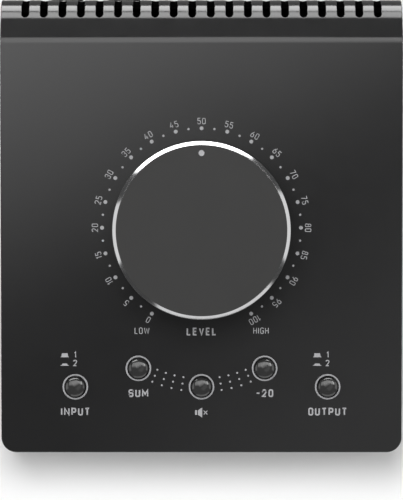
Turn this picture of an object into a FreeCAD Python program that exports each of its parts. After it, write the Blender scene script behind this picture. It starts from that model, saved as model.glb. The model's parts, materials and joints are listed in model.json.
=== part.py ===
import FreeCAD, Part
import math
import os
import re

import Sketcher
from FreeCAD import Placement, Rotation, Vector

# Desktop studio monitor controller: a wedge-shaped sheet-metal case with a large volume knob on a
# potentiometer, five push buttons on switches, and a rear panel of sockets. Millimetres and degrees.
#
# Two frames are used. The case frame has x to the right, y towards the rear from the front edge of the top
# plate and z up from the desk. The panel frame lies on the sloping top: x to the right, u up the slope from
# the same front edge and w out of the panel. The origin of the finished part is on the desk, below the
# middle of its box.

SIZES = [
    # the bent top plate, in side view
    ("case_width", "120"),
    ("case_slope", "10"),
    ("front_top", "26"),
    ("foot_tall", "3"),
    ("sheet_thick", "1.2"),
    ("corner_radius", "4.5"),
    ("panel_long", "122.4"),
    ("first_bend_radius", "6"),
    ("first_bend_angle", "22"),
    ("facet_long", "5.28"),
    ("second_bend_radius", "9.53"),
    ("lip_long", "2.8"),
    ("slope_sin", "=sin(case_slope)"),
    ("slope_cos", "=cos(case_slope)"),
    ("rear_angle", "=90 + case_slope"),
    ("facet_start_u", "=panel_long + first_bend_radius * sin(first_bend_angle)"),
    ("facet_start_w", "=first_bend_radius * (cos(first_bend_angle) - 1)"),
    ("facet_end_u", "=facet_start_u + facet_long * cos(first_bend_angle)"),
    ("facet_end_w", "=facet_start_w - facet_long * sin(first_bend_angle)"),
    ("bend_centre_u", "=facet_end_u - second_bend_radius * sin(first_bend_angle)"),
    ("bend_centre_w", "=facet_end_w - second_bend_radius * cos(first_bend_angle)"),
    ("bend_centre_y", "=bend_centre_u * slope_cos - bend_centre_w * slope_sin"),
    ("bend_centre_z", "=front_top + bend_centre_u * slope_sin + bend_centre_w * slope_cos"),
    ("rear_face", "=bend_centre_y + second_bend_radius"),
    # the row of slots across the second bend
    ("slot_count", "20"),
    ("slot_pitch", "5.55"),
    ("slot_wide", "2.2"),
    ("slot_from_angle", "26"),
    ("slot_mid_angle", "=(slot_from_angle + rear_angle) / 2"),
    ("slot_half_long", "=second_bend_radius * sin((rear_angle - slot_from_angle) / 2)"),
    # base tray, feet and rear panel
    ("tray_inset", "0.8"),
    ("tray_front_inset", "1.6"),
    ("tray_corner", "3.6"),
    ("tray_half", "=case_width / 2 - tray_inset"),
    ("return_flange", "6"),
    ("foot_radius", "6"),
    ("foot_taper", "0.6"),
    ("foot_x", "44"),
    ("foot_front_y", "18"),
    ("foot_rear_y", "119"),
    ("panel_in_y", "=rear_face - 2 * sheet_thick"),
    ("rear_panel_top", "36.6"),
    ("rear_screw_x", "55.4"),
    ("rear_screw_low", "10"),
    ("rear_screw_high", "29"),
    ("screw_radius", "1.45"),
    ("screw_hole", "1.5"),
    ("head_radius", "2.8"),
    ("head_tall", "1.9"),
    ("case_screw_long", "8.5"),
    ("short_screw_long", "6"),
    ("pillar_corner", "3.9"),
    ("pillar_blank", "40"),
    ("pillar_x", "53"),
    ("pillar_front_y", "10"),
    ("pillar_rear_y", "95"),
    # knob and potentiometer, on the panel
    ("dial_u", "67.4"),
    ("knob_radius", "26.15"),
    ("knob_gap", "1.2"),
    ("knob_top", "19"),
    ("knob_skin", "1.6"),
    ("knob_wall", "1.75"),
    ("rim_wide", "1.05"),
    ("rim_fall", "0.7"),
    ("rim_deep", "1.8"),
    ("hub_radius", "6.5"),
    ("hub_bottom", "6.2"),
    ("rib_bottom", "10"),
    ("rib_thick", "1.2"),
    ("pointer_radius", "0.9"),
    ("pointer_reach", "22.7"),
    ("pointer_deep", "0.4"),
    ("shaft_radius", "3"),
    ("shaft_bore", "3.05"),
    ("shaft_top", "16"),
    ("shaft_bottom", "-10"),
    ("bushing_radius", "4.5"),
    ("bushing_top", "5.6"),
    ("washer_thick", "0.8"),
    ("washer_radius", "8"),
    ("nut_thick", "2.2"),
    ("nut_corner", "7.5"),
    ("pot_side", "17"),
    ("shaft_gap", "0.02"),
    ("flat_deep", "0.5"),
    # control board under the panel
    ("board_thick", "1.6"),
    ("board_drop", "14"),
    ("board_half", "46"),
    ("board_front_u", "9"),
    ("board_rear_u", "88"),
    ("standoff_corner", "3.18"),
    ("standoff_x", "41"),
    ("standoff_front_u", "36"),
    ("standoff_rear_u", "82"),
    ("chip_wide", "1.6"),
    ("chip_tall", "0.6"),
    ("chip_x", "18"),
    ("chip_u", "44"),
    ("chip_pitch", "4"),
    # push buttons
    ("button_pitch", "18.9"),
    ("button_u", "19.6"),
    ("inner_button_u", "25.15"),
    ("button_hole", "3.2"),
    ("cap_radius", "2.9"),
    ("cap_proud", "2.9"),
    ("cap_dome", "0.75"),
    ("cap_edge", "0.25"),
    ("dome_half", "=cap_radius - cap_edge"),
    ("dome_radius", "=(dome_half * dome_half + cap_dome * cap_dome) / (2 * cap_dome)"),
    ("cap_bottom", "-4.6"),
    ("flange_half", "3.4"),
    ("flange_thick", "0.9"),
    ("flange_top", "-1.5"),
    ("plunger_side", "3.3"),
    ("plunger_top", "-1.8"),
    ("plunger_bottom", "-11"),
    ("well_side", "3.8"),
    ("well_bottom", "-13.5"),
    ("switch_side", "8.5"),
    ("switch_top", "-7.5"),
    # sockets on the rear panel
    ("jack_bore", "3.25"),
    ("jack_bore_long", "31.2"),
    ("jack_proud", "4.3"),
    ("jack_bushing", "4.7"),
    ("jack_wide", "15.4"),
    ("jack_tall", "14"),
    ("jack_deep", "30"),
    ("jack_low_z", "11.6"),
    ("jack_high_z", "25.9"),
    ("jack_left_x", "-23.5"),
    ("jack_right_x", "-41"),
    ("jack_nut_corner", "7.3"),
    ("jack_nut_thick", "2.2"),
    ("combo_left_x", "38.5"),
    ("combo_right_x", "11"),
    ("combo_z", "19.6"),
    ("combo_flange_wide", "26"),
    ("combo_flange_tall", "30"),
    ("combo_flange_thick", "2"),
    ("combo_body_wide", "24"),
    ("combo_body_tall", "27"),
    ("combo_barrel", "11.8"),
    ("combo_hole", "12"),
    ("combo_mouth", "9.6"),
    ("combo_mouth_deep", "14"),
    ("insert_radius", "7.8"),
    ("insert_sunk", "1"),
    ("combo_bore_long", "28.2"),
    ("contact_circle", "5.7"),
    ("contact_hole", "1.3"),
    ("contact_deep", "12"),
    ("keyway_wide", "3.2"),
    ("keyway_deep", "1.2"),
    ("combo_screw_x", "10.6"),
    ("combo_screw_z", "11.2"),
    ("mini_x", "-8.6"),
    ("mini_z", "19.6"),
    ("mini_bore", "1.8"),
    ("mini_bore_long", "14.5"),
    ("mini_bushing", "3"),
    ("mini_wide", "9"),
    ("mini_tall", "11"),
    ("mini_deep", "13"),
    ("mini_nut_corner", "4.2"),
    ("mini_nut_thick", "1.8"),
    ("mini_proud", "3"),
    ("thread_gap", "0.05"),
    ("pin_long", "1.8"),
    ("pin_wide", "0.9"),
    ("pin_thick", "0.5"),
    ("pin_rise", "2"),
    ("pin_pitch", "5"),
    ("jack_board_half", "52"),
    ("jack_board_low", "6"),
    ("jack_board_high", "36"),
    ("jack_board_y", "=panel_in_y - jack_deep - board_thick"),
    # ribbon cable between the boards
    ("header_wide", "16"),
    ("header_tall", "5"),
    ("header_long", "6.5"),
    ("header_u", "80"),
    ("cable_room", "0.2"),
    ("cable_wide", "12.7"),
    ("cable_thick", "0.9"),
    ("cable_bend", "6"),
    ("cable_w", "-11"),
    ("cable_start_y", "=(header_u - 1) * slope_cos - cable_w * slope_sin"),
    ("cable_start_z", "=front_top + (header_u - 1) * slope_sin + cable_w * slope_cos"),
    ("cable_down_y", "=jack_board_y - 3"),
    ("cable_centre_y", "=cable_down_y - cable_bend"),
    ("cable_rise", "=(cable_centre_y - cable_bend * slope_sin - cable_start_y) * slope_sin / slope_cos"),
    ("cable_centre_z", "=cable_start_z + cable_rise - cable_bend * slope_cos"),
    ("cable_end_z", "17"),
    ("rear_header_tall", "9"),
    ("rear_header_sunk", "5"),
    # the whole
    ("overall_depth", "=rear_face - sheet_thick + jack_proud"),
    ("front_y", "=-overall_depth / 2"),
]

doc = FreeCAD.newDocument("MonitorController")
sheet = doc.addObject("Spreadsheet::Sheet", "Sizes")
for row, (alias, content) in enumerate(SIZES, start=1):
    sheet.set(f"A{row}", alias.replace("_", " "))
    sheet.set(f"B{row}", content)
    sheet.setAlias(f"B{row}", alias)
doc.recompute()

ALIASES = {alias for alias, _ in SIZES}
nodes = []


# ---- expressions over the sheet ----


def bound(formula):
    """The formula as an expression: each alias in it names its cell of the sheet."""
    return re.sub(r"[a-z][a-z_]*", lambda m: f"Sizes.{m[0]}" if m[0] in ALIASES else m[0], str(formula))


def value(formula):
    """What the formula comes to now."""
    return float(sheet.evalExpression(bound(formula)))


def bind(obj, name, formula):
    obj.setExpression(name, bound(formula))


def seat(obj, x, y, z, turn=None):
    """Place an object in the case frame."""
    obj.Placement = Placement(Vector(), turn or Rotation())
    bind(obj, "Placement.Base.x", x)
    bind(obj, "Placement.Base.y", f"front_y + ({y})")
    bind(obj, "Placement.Base.z", z)
    return obj


def seat_on_panel(obj, x, u, w):
    """Place an object on the panel, tilted with it."""
    obj.Placement = Placement(Vector(), Rotation(Vector(1, 0, 0), value("case_slope")))
    bind(obj, "Placement.Rotation.Angle", "case_slope")
    bind(obj, "Placement.Base.x", x)
    bind(obj, "Placement.Base.y", f"front_y + ({u}) * slope_cos - ({w}) * slope_sin")
    bind(obj, "Placement.Base.z", f"front_top + ({u}) * slope_sin + ({w}) * slope_cos")
    return obj


def node(obj, label):
    """Name an object as one piece of the finished assembly."""
    obj.Label = label
    nodes.append(obj)
    return obj


# ---- Part primitives and booleans ----

ALONG_Y = Rotation(Vector(1, 0, 0), -90)
INTO_REAR = Rotation(Vector(1, 0, 0), 90)


def at(obj, x, y, z, turn=None):
    """Place a primitive inside its own piece."""
    obj.Placement = Placement(Vector(), turn or Rotation())
    bind(obj, "Placement.Base.x", x)
    bind(obj, "Placement.Base.y", y)
    bind(obj, "Placement.Base.z", z)
    return obj


def cylinder(radius, height, x=0, y=0, z=0, turn=None):
    obj = doc.addObject("Part::Cylinder", "Cylinder")
    bind(obj, "Radius", radius)
    bind(obj, "Height", height)
    return at(obj, x, y, z, turn)


def block(wide, deep, tall, x=0, y=0, z=0):
    """A box centred on x and y that stands on z."""
    obj = doc.addObject("Part::Box", "Block")
    bind(obj, "Length", wide)
    bind(obj, "Width", deep)
    bind(obj, "Height", tall)
    return at(obj, f"{x} - ({wide}) / 2", f"{y} - ({deep}) / 2", z)


def many_sided(sides, corner, tall, x=0, y=0, z=0, turn=None):
    obj = doc.addObject("Part::Prism", "Prism")
    obj.Polygon = sides
    bind(obj, "Circumradius", corner)
    bind(obj, "Height", tall)
    return at(obj, x, y, z, turn)


def hexagon(corner, tall, x=0, y=0, z=0, turn=None):
    return many_sided(6, corner, tall, x, y, z, turn)


def fuse(*pieces):
    obj = doc.addObject("Part::MultiFuse", "Fuse")
    obj.Shapes = list(pieces)
    return obj


def cut(base, *tools):
    obj = doc.addObject("Part::Cut", "Cut")
    obj.Base = base
    obj.Tool = tools[0] if len(tools) == 1 else fuse(*tools)
    return obj


def group(pieces):
    """Several like pieces as one compound."""
    obj = doc.addObject("Part::Compound", "Group")
    obj.Links = list(pieces)
    return obj


def copies(master, spots, turn=None):
    """A compound with one copy of the master at each (x, y, z)."""
    links = []
    for x, y, z in spots:
        link = doc.addObject("App::Link", "Copy")
        link.LinkedObject = master
        link.Placement = Placement(Vector(value(x), value(y), value(z)), turn or Rotation())
        links.append(link)
    return group(links)


# ---- PartDesign bodies ----


def body_named(label):
    return node(doc.addObject("PartDesign::Body", label), label)


def sketch_on(body, plane, x=0, y=0, z=0, turn=None):
    """A sketch on one of the body's own origin planes, moved and turned within that plane's frame."""
    sketch = body.newObject("Sketcher::SketchObject", "Sketch")
    sketch.AttachmentSupport = [(f, "") for f in body.Origin.OriginFeatures if f.Role == plane]
    sketch.MapMode = "FlatFace"
    sketch.AttachmentOffset = Placement(Vector(), turn or Rotation())
    for axis, formula in (("x", x), ("y", y), ("z", z)):
        bind(sketch, f"AttachmentOffset.Base.{axis}", formula)
    return sketch


def pin(sketch, curve, spot, x, y):
    """Hold one point of a curve at x, y of the sketch."""
    for kind, formula in (("DistanceX", x), ("DistanceY", y)):
        index = sketch.addConstraint(Sketcher.Constraint(kind, curve, spot, value(formula)))
        bind(sketch, f"Constraints[{index}]", formula)


def circle(sketch, radius, x=0, y=0):
    ring = Part.Circle(Vector(value(x), value(y), 0), Vector(0, 0, 1), value(radius))
    curve = sketch.addGeometry(ring, False)
    index = sketch.addConstraint(Sketcher.Constraint("Radius", curve, value(radius)))
    bind(sketch, f"Constraints[{index}]", radius)
    pin(sketch, curve, 3, x, y)


def arc_between(start, end, radius):
    """The short arc from start to end, clockwise for a negative radius, and the number of its first point."""
    half = (end - start) * 0.5
    rise = math.sqrt(max(radius**2 - half.Length**2, 0.0))
    left = Vector(-half.y, half.x, 0).normalize()
    centre = start + half + left * math.copysign(rise, radius)
    first, last = (start, end) if radius > 0 else (end, start)
    from_angle = math.atan2(first.y - centre.y, first.x - centre.x)
    to_angle = math.atan2(last.y - centre.y, last.x - centre.x)
    if to_angle < from_angle:
        to_angle += 2 * math.pi
    ring = Part.Circle(centre, Vector(0, 0, 1), abs(radius))
    return Part.ArcOfCircle(ring, from_angle, to_angle), 1 if radius > 0 else 2


def hold_arc(sketch, curve, start, corner):
    """Hold an arc between held ends by its radius, or a half circle by the height of its centre."""
    arc = sketch.Geometry[curve]
    level = abs(arc.Center.y - start.y) < 1e-6
    kind = "DistanceY" if level else "Radius"
    spot = (curve, 3, start.y) if level else (curve, arc.Radius)
    number = sketch.addConstraint(Sketcher.Constraint(kind, *spot))
    bind(sketch, f"Constraints[{number}]", corner[1] if level else f"abs({corner[2]})")


def outline(sketch, corners):
    """A closed outline through the corners (x, y), where (x, y, radius) starts an arc to the next corner."""
    spots = [Vector(value(corner[0]), value(corner[1]), 0) for corner in corners]
    curves = []
    for index, corner in enumerate(corners):
        start = spots[index]
        end = spots[(index + 1) % len(spots)]
        shape, first = Part.LineSegment(start, end), 1
        if len(corner) == 3:
            shape, first = arc_between(start, end, value(corner[2]))
        curves.append((sketch.addGeometry(shape, False), first))
    for index, corner in enumerate(corners):
        curve, first = curves[index]
        following, its_first = curves[(index + 1) % len(curves)]
        sketch.addConstraint(Sketcher.Constraint("Coincident", curve, 3 - first, following, its_first))
        pin(sketch, curve, first, corner[0], corner[1])
        if len(corner) == 3:
            hold_arc(sketch, curve, spots[index], corner)


def rectangle(sketch, left, low, right, high):
    outline(sketch, [(left, low), (right, low), (right, high), (left, high)])


def screw_opening(sketch, x, y):
    """A six-sided hole round a screw's shank."""
    angles = range(0, 360, 60)
    outline(sketch, [(f"{x} + screw_hole * cos({a})", f"{y} + screw_hole * sin({a})") for a in angles])


def feature(body, kind, sketch, length, symmetric=False, reverse=False):
    """A pad or pocket of the sketch."""
    obj = body.newObject(f"PartDesign::{kind}", kind)
    obj.Profile = sketch
    bind(obj, "Length", length)
    obj.SideType = "Symmetric" if symmetric else "One side"
    obj.Reversed = reverse
    body.Tip = obj
    return obj


def revolve(body, corners):
    """Turn an outline in the XZ plane right round the Z axis."""
    sketch = sketch_on(body, "XZ_Plane")
    outline(sketch, corners)
    obj = body.newObject("PartDesign::Revolution", "Revolution")
    obj.Profile = sketch
    obj.ReferenceAxis = (sketch, ["V_Axis"])
    obj.Angle = 360
    body.Tip = obj
    return obj


def pattern(body, kind, original, count, **settings):
    obj = body.newObject(f"PartDesign::{kind}", kind)
    obj.Originals = [original]
    for name, setting in settings.items():
        setattr(obj, name, setting)
    bind(obj, "Occurrences", count)
    body.Tip = obj
    return obj


def origin_axis(body, role):
    return next(f for f in body.Origin.OriginFeatures if f.Role == role)


def fillet_edges(body, radius, wanted):
    """Round the edges of the body's tip whose middle point passes the test."""
    doc.recompute()
    base = body.Tip
    chosen = []
    for number, edge in enumerate(base.Shape.Edges, start=1):
        middle = (edge.Vertexes[0].Point + edge.Vertexes[-1].Point) * 0.5
        if len(edge.Vertexes) == 2 and wanted(edge, middle):
            chosen.append(f"Edge{number}")
    obj = body.newObject("PartDesign::Fillet", "Fillet")
    obj.Base = (base, chosen)
    bind(obj, "Radius", radius)
    body.Tip = obj
    return obj


# ---- case ----


def on_plate(offset):
    """Points (u, w) of the plate's side view, front edge to lip, at a depth under its outer face."""
    turned = f"(second_bend_radius - {offset})"
    return [
        ("0", f"-{offset}"),
        ("panel_long", f"-{offset}", f"-(first_bend_radius - {offset})"),
        (
            f"panel_long + (first_bend_radius - {offset}) * sin(first_bend_angle)",
            f"(first_bend_radius - {offset}) * cos(first_bend_angle) - first_bend_radius",
        ),
        (
            f"bend_centre_u + {turned} * sin(first_bend_angle)",
            f"bend_centre_w + {turned} * cos(first_bend_angle)",
            f"-{turned}",
        ),
        (
            f"bend_centre_u + {turned} * sin(rear_angle)",
            f"bend_centre_w + {turned} * cos(rear_angle)",
        ),
        (
            f"bend_centre_u + {turned} * sin(rear_angle) + lip_long * cos(rear_angle)",
            f"bend_centre_w + {turned} * cos(rear_angle) - lip_long * sin(rear_angle)",
        ),
    ]


def backwards(corners):
    """The same outline in the other order, with each arc's radius at its new start and turned round."""
    turned = []
    for index in range(len(corners) - 1, -1, -1):
        corner = corners[index][:2]
        before = corners[index - 1] if index else ()
        turned.append((*corner, f"-({before[2]})") if len(before) == 3 else corner)
    return turned


def make_top_plate():
    """Bent sheet: sloping panel, facet, slotted bend and rear lip."""
    body = body_named("top_plate")
    profile = sketch_on(body, "YZ_Plane")
    outline(profile, on_plate("0") + backwards(on_plate("sheet_thick")))
    feature(body, "Pad", profile, "case_width", symmetric=True)
    thick = value("sheet_thick")
    fillet_edges(
        body,
        "corner_radius",
        lambda edge, middle: middle.y < 0.01 and abs(middle.x) > 1 and abs(edge.Length - thick) < 0.01,
    )
    holes = sketch_on(body, "XY_Plane")
    circle(holes, "bushing_radius + 0.1", 0, "dial_u")
    for _, x, u in BUTTONS:
        circle(holes, "button_hole", x, u)
    feature(body, "Pocket", holes, "2 * sheet_thick")
    facing = Rotation(Vector(1, 0, 0), -value("slot_mid_angle"))
    slot = sketch_on(body, "XY_Plane", 0, "bend_centre_u", "bend_centre_w", facing)
    left = "-(slot_count - 1) / 2 * slot_pitch - slot_wide / 2"
    right = "-(slot_count - 1) / 2 * slot_pitch + slot_wide / 2"
    straight = "slot_half_long - slot_wide / 2"
    outline(
        slot,
        [
            (left, f"-({straight})", "slot_wide / 2"),
            (right, f"-({straight})"),
            (right, straight, "slot_wide / 2"),
            (left, straight),
        ],
    )
    first = feature(body, "Pocket", slot, "second_bend_radius + sheet_thick", reverse=True)
    row = pattern(body, "LinearPattern", first, "slot_count", Direction=(origin_axis(body, "X_Axis"), [""]))
    bind(row, "Length", "(slot_count - 1) * slot_pitch")
    seat_on_panel(body, 0, 0, 0)


def under_plate():
    """The plate's underside in the case frame, from the front of the tray to where the bend turns down."""
    corners = []
    for corner in on_plate("sheet_thick")[:4]:
        u, w = corner[:2]
        y = f"({u}) * slope_cos - ({w}) * slope_sin"
        z = f"front_top + ({u}) * slope_sin + ({w}) * slope_cos"
        corners.append((y, z, *corner[2:]))
    front_fall = "(front_top - sheet_thick / slope_cos)"
    corners[0] = ("tray_front_inset", f"{front_fall} + tray_front_inset * slope_sin / slope_cos")
    corners.append(("rear_face - sheet_thick", "bend_centre_z"))
    return corners


def make_base_tray():
    """Folded tray under the plate: bottom, front and side walls, and a return flange at each rear corner."""
    body = body_named("base_tray")
    profile = sketch_on(body, "YZ_Plane")
    floor = [("rear_face - sheet_thick", "foot_tall"), ("tray_front_inset", "foot_tall")]
    outline(profile, floor + under_plate())
    feature(body, "Pad", profile, "2 * tray_half", symmetric=True)
    fillet_edges(
        body,
        "tray_corner",
        lambda edge, middle: abs(middle.y - value("tray_front_inset")) < 0.01 and abs(middle.x) > 1,
    )
    inside = sketch_on(body, "YZ_Plane")
    rectangle(inside, "tray_front_inset + sheet_thick", "foot_tall + sheet_thick", "rear_face + 1", "60")
    feature(body, "Pocket", inside, "2 * (tray_half - sheet_thick)", symmetric=True)
    inner_front = value("tray_front_inset + sheet_thick")
    fillet_edges(
        body,
        "tray_corner - sheet_thick",
        lambda edge, middle: abs(middle.y - inner_front) < 0.01
        and abs(abs(middle.x) - value("tray_half - sheet_thick")) < 0.01
        and edge.Length > 10,
    )
    flanges = sketch_on(body, "XZ_Plane", 0, 0, "-panel_in_y")
    outer = "tray_half - sheet_thick / 2"
    for side in ("", "-"):
        rectangle(
            flanges,
            f"{side}(tray_half - sheet_thick - return_flange)",
            "foot_tall + sheet_thick / 2",
            f"{side}({outer})",
            "rear_panel_top",
        )
        for height in ("rear_screw_low", "rear_screw_high"):
            screw_opening(flanges, f"{side}rear_screw_x", height)
    feature(body, "Pad", flanges, "sheet_thick")
    holes = sketch_on(body, "XY_Plane")
    for x, y in PILLARS:
        screw_opening(holes, x, y)
    feature(body, "Pocket", holes, "foot_tall + 2 * sheet_thick", reverse=True)
    seat(body, 0, 0, 0)


def make_rear_panel():
    """Flat sheet with the socket holes, between the tray's side walls and behind the plate's lip."""
    body = body_named("rear_panel")
    sketch = sketch_on(body, "XZ_Plane", 0, 0, "-(panel_in_y + sheet_thick)")
    half = "(tray_half - sheet_thick)"
    rectangle(sketch, f"-{half}", "foot_tall + sheet_thick", half, "rear_panel_top")
    for _, x, z in OUTPUTS:
        circle(sketch, "jack_bushing + 0.1", x, z)
    circle(sketch, "mini_bushing + 0.1", "mini_x", "mini_z")
    for _, x in INPUTS:
        circle(sketch, "combo_hole", x, "combo_z")
        for sign in ("+", "-"):
            screw_opening(sketch, f"{x} {sign} combo_screw_x", f"combo_z {sign} combo_screw_z")
    for x, z in REAR_SCREWS:
        screw_opening(sketch, x, z)
    feature(body, "Pad", sketch, "sheet_thick")
    seat(body, 0, 0, 0)


def make_feet():
    """Four round rubber feet, slightly tapered."""
    foot = doc.addObject("PartDesign::Body", "foot")
    revolve(
        foot,
        [
            ("0", "0"),
            ("foot_radius - foot_taper", "0"),
            ("foot_radius", "foot_tall"),
            ("0", "foot_tall"),
        ],
    )
    spots = [(f"{side}foot_x", y, "0") for y in ("foot_front_y", "foot_rear_y") for side in ("", "-")]
    seat(node(copies(foot, spots), "rubber_feet"), 0, 0, 0)


def screw(long):
    """A screw along +Z with z = 0 under its head: head and shank have few sides, no thread and no drive."""
    head = many_sided(12, "head_radius", "head_tall", 0, 0, "-head_tall")
    return fuse(head, hexagon("screw_radius", long))


def make_pillars():
    """Four pillars that take the case screws, their tops cut to the underside of the sloping plate."""
    above = block("case_width", "panel_long", "pillar_blank")
    tilt = Rotation(Vector(1, 0, 0), value("case_slope"))
    at(above, "-case_width / 2", "sheet_thick * slope_sin", "front_top - sheet_thick * slope_cos", tilt)
    bind(above, "Placement.Rotation.Angle", "case_slope")
    pillars = []
    for x, y in PILLARS:
        column = hexagon("pillar_corner", "pillar_blank", x, y, "foot_tall + sheet_thick")
        hole = hexagon("screw_hole", "case_screw_long + 0.5", x, y, "foot_tall")
        pillars.append(cut(column, above, hole))
    seat(node(group(pillars), "corner_pillars"), 0, 0, 0)


def make_case_screws():
    spots = [(x, y, "foot_tall") for x, y in PILLARS]
    seat(node(copies(screw("case_screw_long"), spots), "case_screws"), 0, 0, 0)


def make_rear_screws():
    """Screws through the rear panel into the tray's return flanges."""
    spots = [(x, "panel_in_y + sheet_thick", z) for x, z in REAR_SCREWS]
    seat(node(copies(screw("short_screw_long"), spots, INTO_REAR), "rear_screws"), 0, 0, 0)


# ---- knob ----


def make_knob():
    """Moulded hub with ribs, the turned cap over it, the bright rim in its edge, and the pointer inlay."""
    under_skin = "(knob_top - knob_skin)"
    core_edge = "(knob_radius - knob_wall)"

    core = body_named("knob_core")
    revolve(
        core,
        [
            ("shaft_radius + shaft_gap", "hub_bottom"),
            ("hub_radius", "hub_bottom"),
            ("hub_radius", under_skin),
            ("0", under_skin),
            ("0", "shaft_top + 5 * shaft_gap"),
            ("shaft_radius + shaft_gap", "shaft_top + 5 * shaft_gap"),
        ],
    )
    rib = sketch_on(core, "XY_Plane", 0, 0, "rib_bottom")
    rectangle(rib, "hub_radius - 0.5", "-rib_thick / 2", f"{core_edge} - 0.05", "rib_thick / 2")
    first = feature(core, "Pad", rib, f"{under_skin} - rib_bottom")
    pattern(core, "PolarPattern", first, "8", Axis=(origin_axis(core, "Z_Axis"), [""]), Angle=360)
    seat_on_panel(core, 0, "dial_u", 0)

    cap = body_named("knob_cap")
    revolve(
        cap,
        [
            ("0", under_skin),
            (core_edge, under_skin),
            (core_edge, "knob_gap"),
            ("knob_radius", "knob_gap"),
            ("knob_radius", "knob_top - rim_deep"),
            ("knob_radius - rim_wide", "knob_top - rim_deep"),
            ("knob_radius - rim_wide", "knob_top"),
            ("0", "knob_top"),
        ],
    )
    spot = sketch_on(cap, "XY_Plane", 0, 0, "knob_top")
    circle(spot, "pointer_radius", 0, "pointer_reach")
    feature(cap, "Pocket", spot, "pointer_deep")
    seat_on_panel(cap, 0, "dial_u", 0)

    rim = body_named("knob_rim")
    revolve(
        rim,
        [
            ("knob_radius - rim_wide", "knob_top - rim_deep"),
            ("knob_radius", "knob_top - rim_deep"),
            ("knob_radius", "knob_top - rim_fall"),
            ("knob_radius - rim_wide", "knob_top"),
        ],
    )
    seat_on_panel(rim, 0, "dial_u", 0)

    pointer = node(cylinder("pointer_radius", "pointer_deep"), "knob_pointer")
    seat_on_panel(pointer, 0, "dial_u + pointer_reach", "knob_top - pointer_deep")


def make_potentiometer():
    """Rotary control fixed to the panel by its bushing, with the shaft the knob is pushed on to."""
    drop = "(board_drop - sheet_thick)"
    case = cut(
        block("pot_side", "pot_side", drop, 0, 0, "-board_drop"),
        cylinder("shaft_bore", "board_drop", 0, 0, "shaft_bottom - 0.3"),
    )
    seat_on_panel(node(case, "pot_body"), 0, "dial_u", 0)

    bushing = cut(
        cylinder("bushing_radius", "bushing_top + sheet_thick", 0, 0, "-sheet_thick"),
        cylinder("shaft_bore", "bushing_top + 2 * sheet_thick", 0, 0, "-1.5 * sheet_thick"),
    )
    seat_on_panel(node(bushing, "pot_bushing"), 0, "dial_u", 0)

    washer = cut(
        many_sided(16, "washer_radius", "washer_thick"),
        cylinder("bushing_radius + thread_gap", "2 * washer_thick", 0, 0, "-washer_thick / 2"),
    )
    seat_on_panel(node(washer, "pot_washer"), 0, "dial_u", 0)

    nut = cut(
        hexagon("nut_corner", "nut_thick"),
        cylinder("bushing_radius + thread_gap", "2 * nut_thick", 0, 0, "-nut_thick / 2"),
    )
    seat_on_panel(node(nut, "pot_nut"), 0, "dial_u", "washer_thick")

    low = "-board_drop - board_thick - pin_long"
    pins = [
        block("pin_wide", "pin_thick", "pin_long", f"{column} * pin_pitch", f"{row} * pin_pitch", low)
        for column in (-1, 0, 1)
        for row in (-1, 1)
    ]
    seat_on_panel(node(group(pins), "pot_terminals"), 0, "dial_u", 0)

    flat_y = "1.5 * shaft_radius - flat_deep"
    flat = block("2 * shaft_radius", "shaft_radius", "shaft_top", 0, flat_y, "hub_bottom")
    shaft = cut(cylinder("shaft_radius", "shaft_top - shaft_bottom", 0, 0, "shaft_bottom"), flat)
    seat_on_panel(node(shaft, "pot_shaft"), 0, "dial_u", 0)


# ---- push buttons ----


def make_button(name, x, u):
    """Domed cap with a square flange under the panel, the plunger that carries it, and its switch."""
    cap = body_named(f"{name}_button")
    revolve(
        cap,
        [
            ("0", "cap_bottom"),
            ("cap_radius", "cap_bottom"),
            ("cap_radius", "cap_proud - cap_dome - cap_edge"),
            ("dome_half", "cap_proud - cap_dome", "dome_radius"),
            ("0", "cap_proud"),
        ],
    )
    flange = sketch_on(cap, "XY_Plane", 0, 0, "flange_top - flange_thick")
    rectangle(flange, "-flange_half", "-flange_half", "flange_half", "flange_half")
    feature(cap, "Pad", flange, "flange_thick")
    socket = sketch_on(cap, "XY_Plane", 0, 0, "cap_bottom")
    half = "plunger_side / 2"
    rectangle(socket, f"-{half}", f"-{half}", half, half)
    feature(cap, "Pocket", socket, "plunger_top - cap_bottom", reverse=True)
    seat_on_panel(cap, x, u, 0)

    plunger = body_named(f"{name}_plunger")
    section = sketch_on(plunger, "XY_Plane", 0, 0, "plunger_bottom")
    rectangle(section, f"-{half}", f"-{half}", half, half)
    feature(plunger, "Pad", section, "plunger_top - plunger_bottom")
    seat_on_panel(plunger, x, u, 0)

    housing = cut(
        block("switch_side", "switch_side", "switch_top + board_drop", 0, 0, "-board_drop"),
        block("well_side", "well_side", "board_drop", 0, 0, "well_bottom"),
    )
    seat_on_panel(node(housing, f"{name}_switch"), x, u, 0)


def make_switch_pins():
    """Six solder pins under each switch, on the far side of the board."""
    low = "-board_drop - board_thick - pin_long"
    pins = []
    for _, x, u in BUTTONS:
        for column in (-1, 1):
            for row in (-1, 0, 1):
                spot = (f"{x} + {column} * pin_pitch / 2", f"{u} + {row} * pin_pitch / 2", low)
                pins.append(block("pin_thick", "pin_thick", "pin_long", *spot))
    seat_on_panel(node(group(pins), "switch_pins"), 0, 0, 0)


# ---- boards ----


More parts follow.
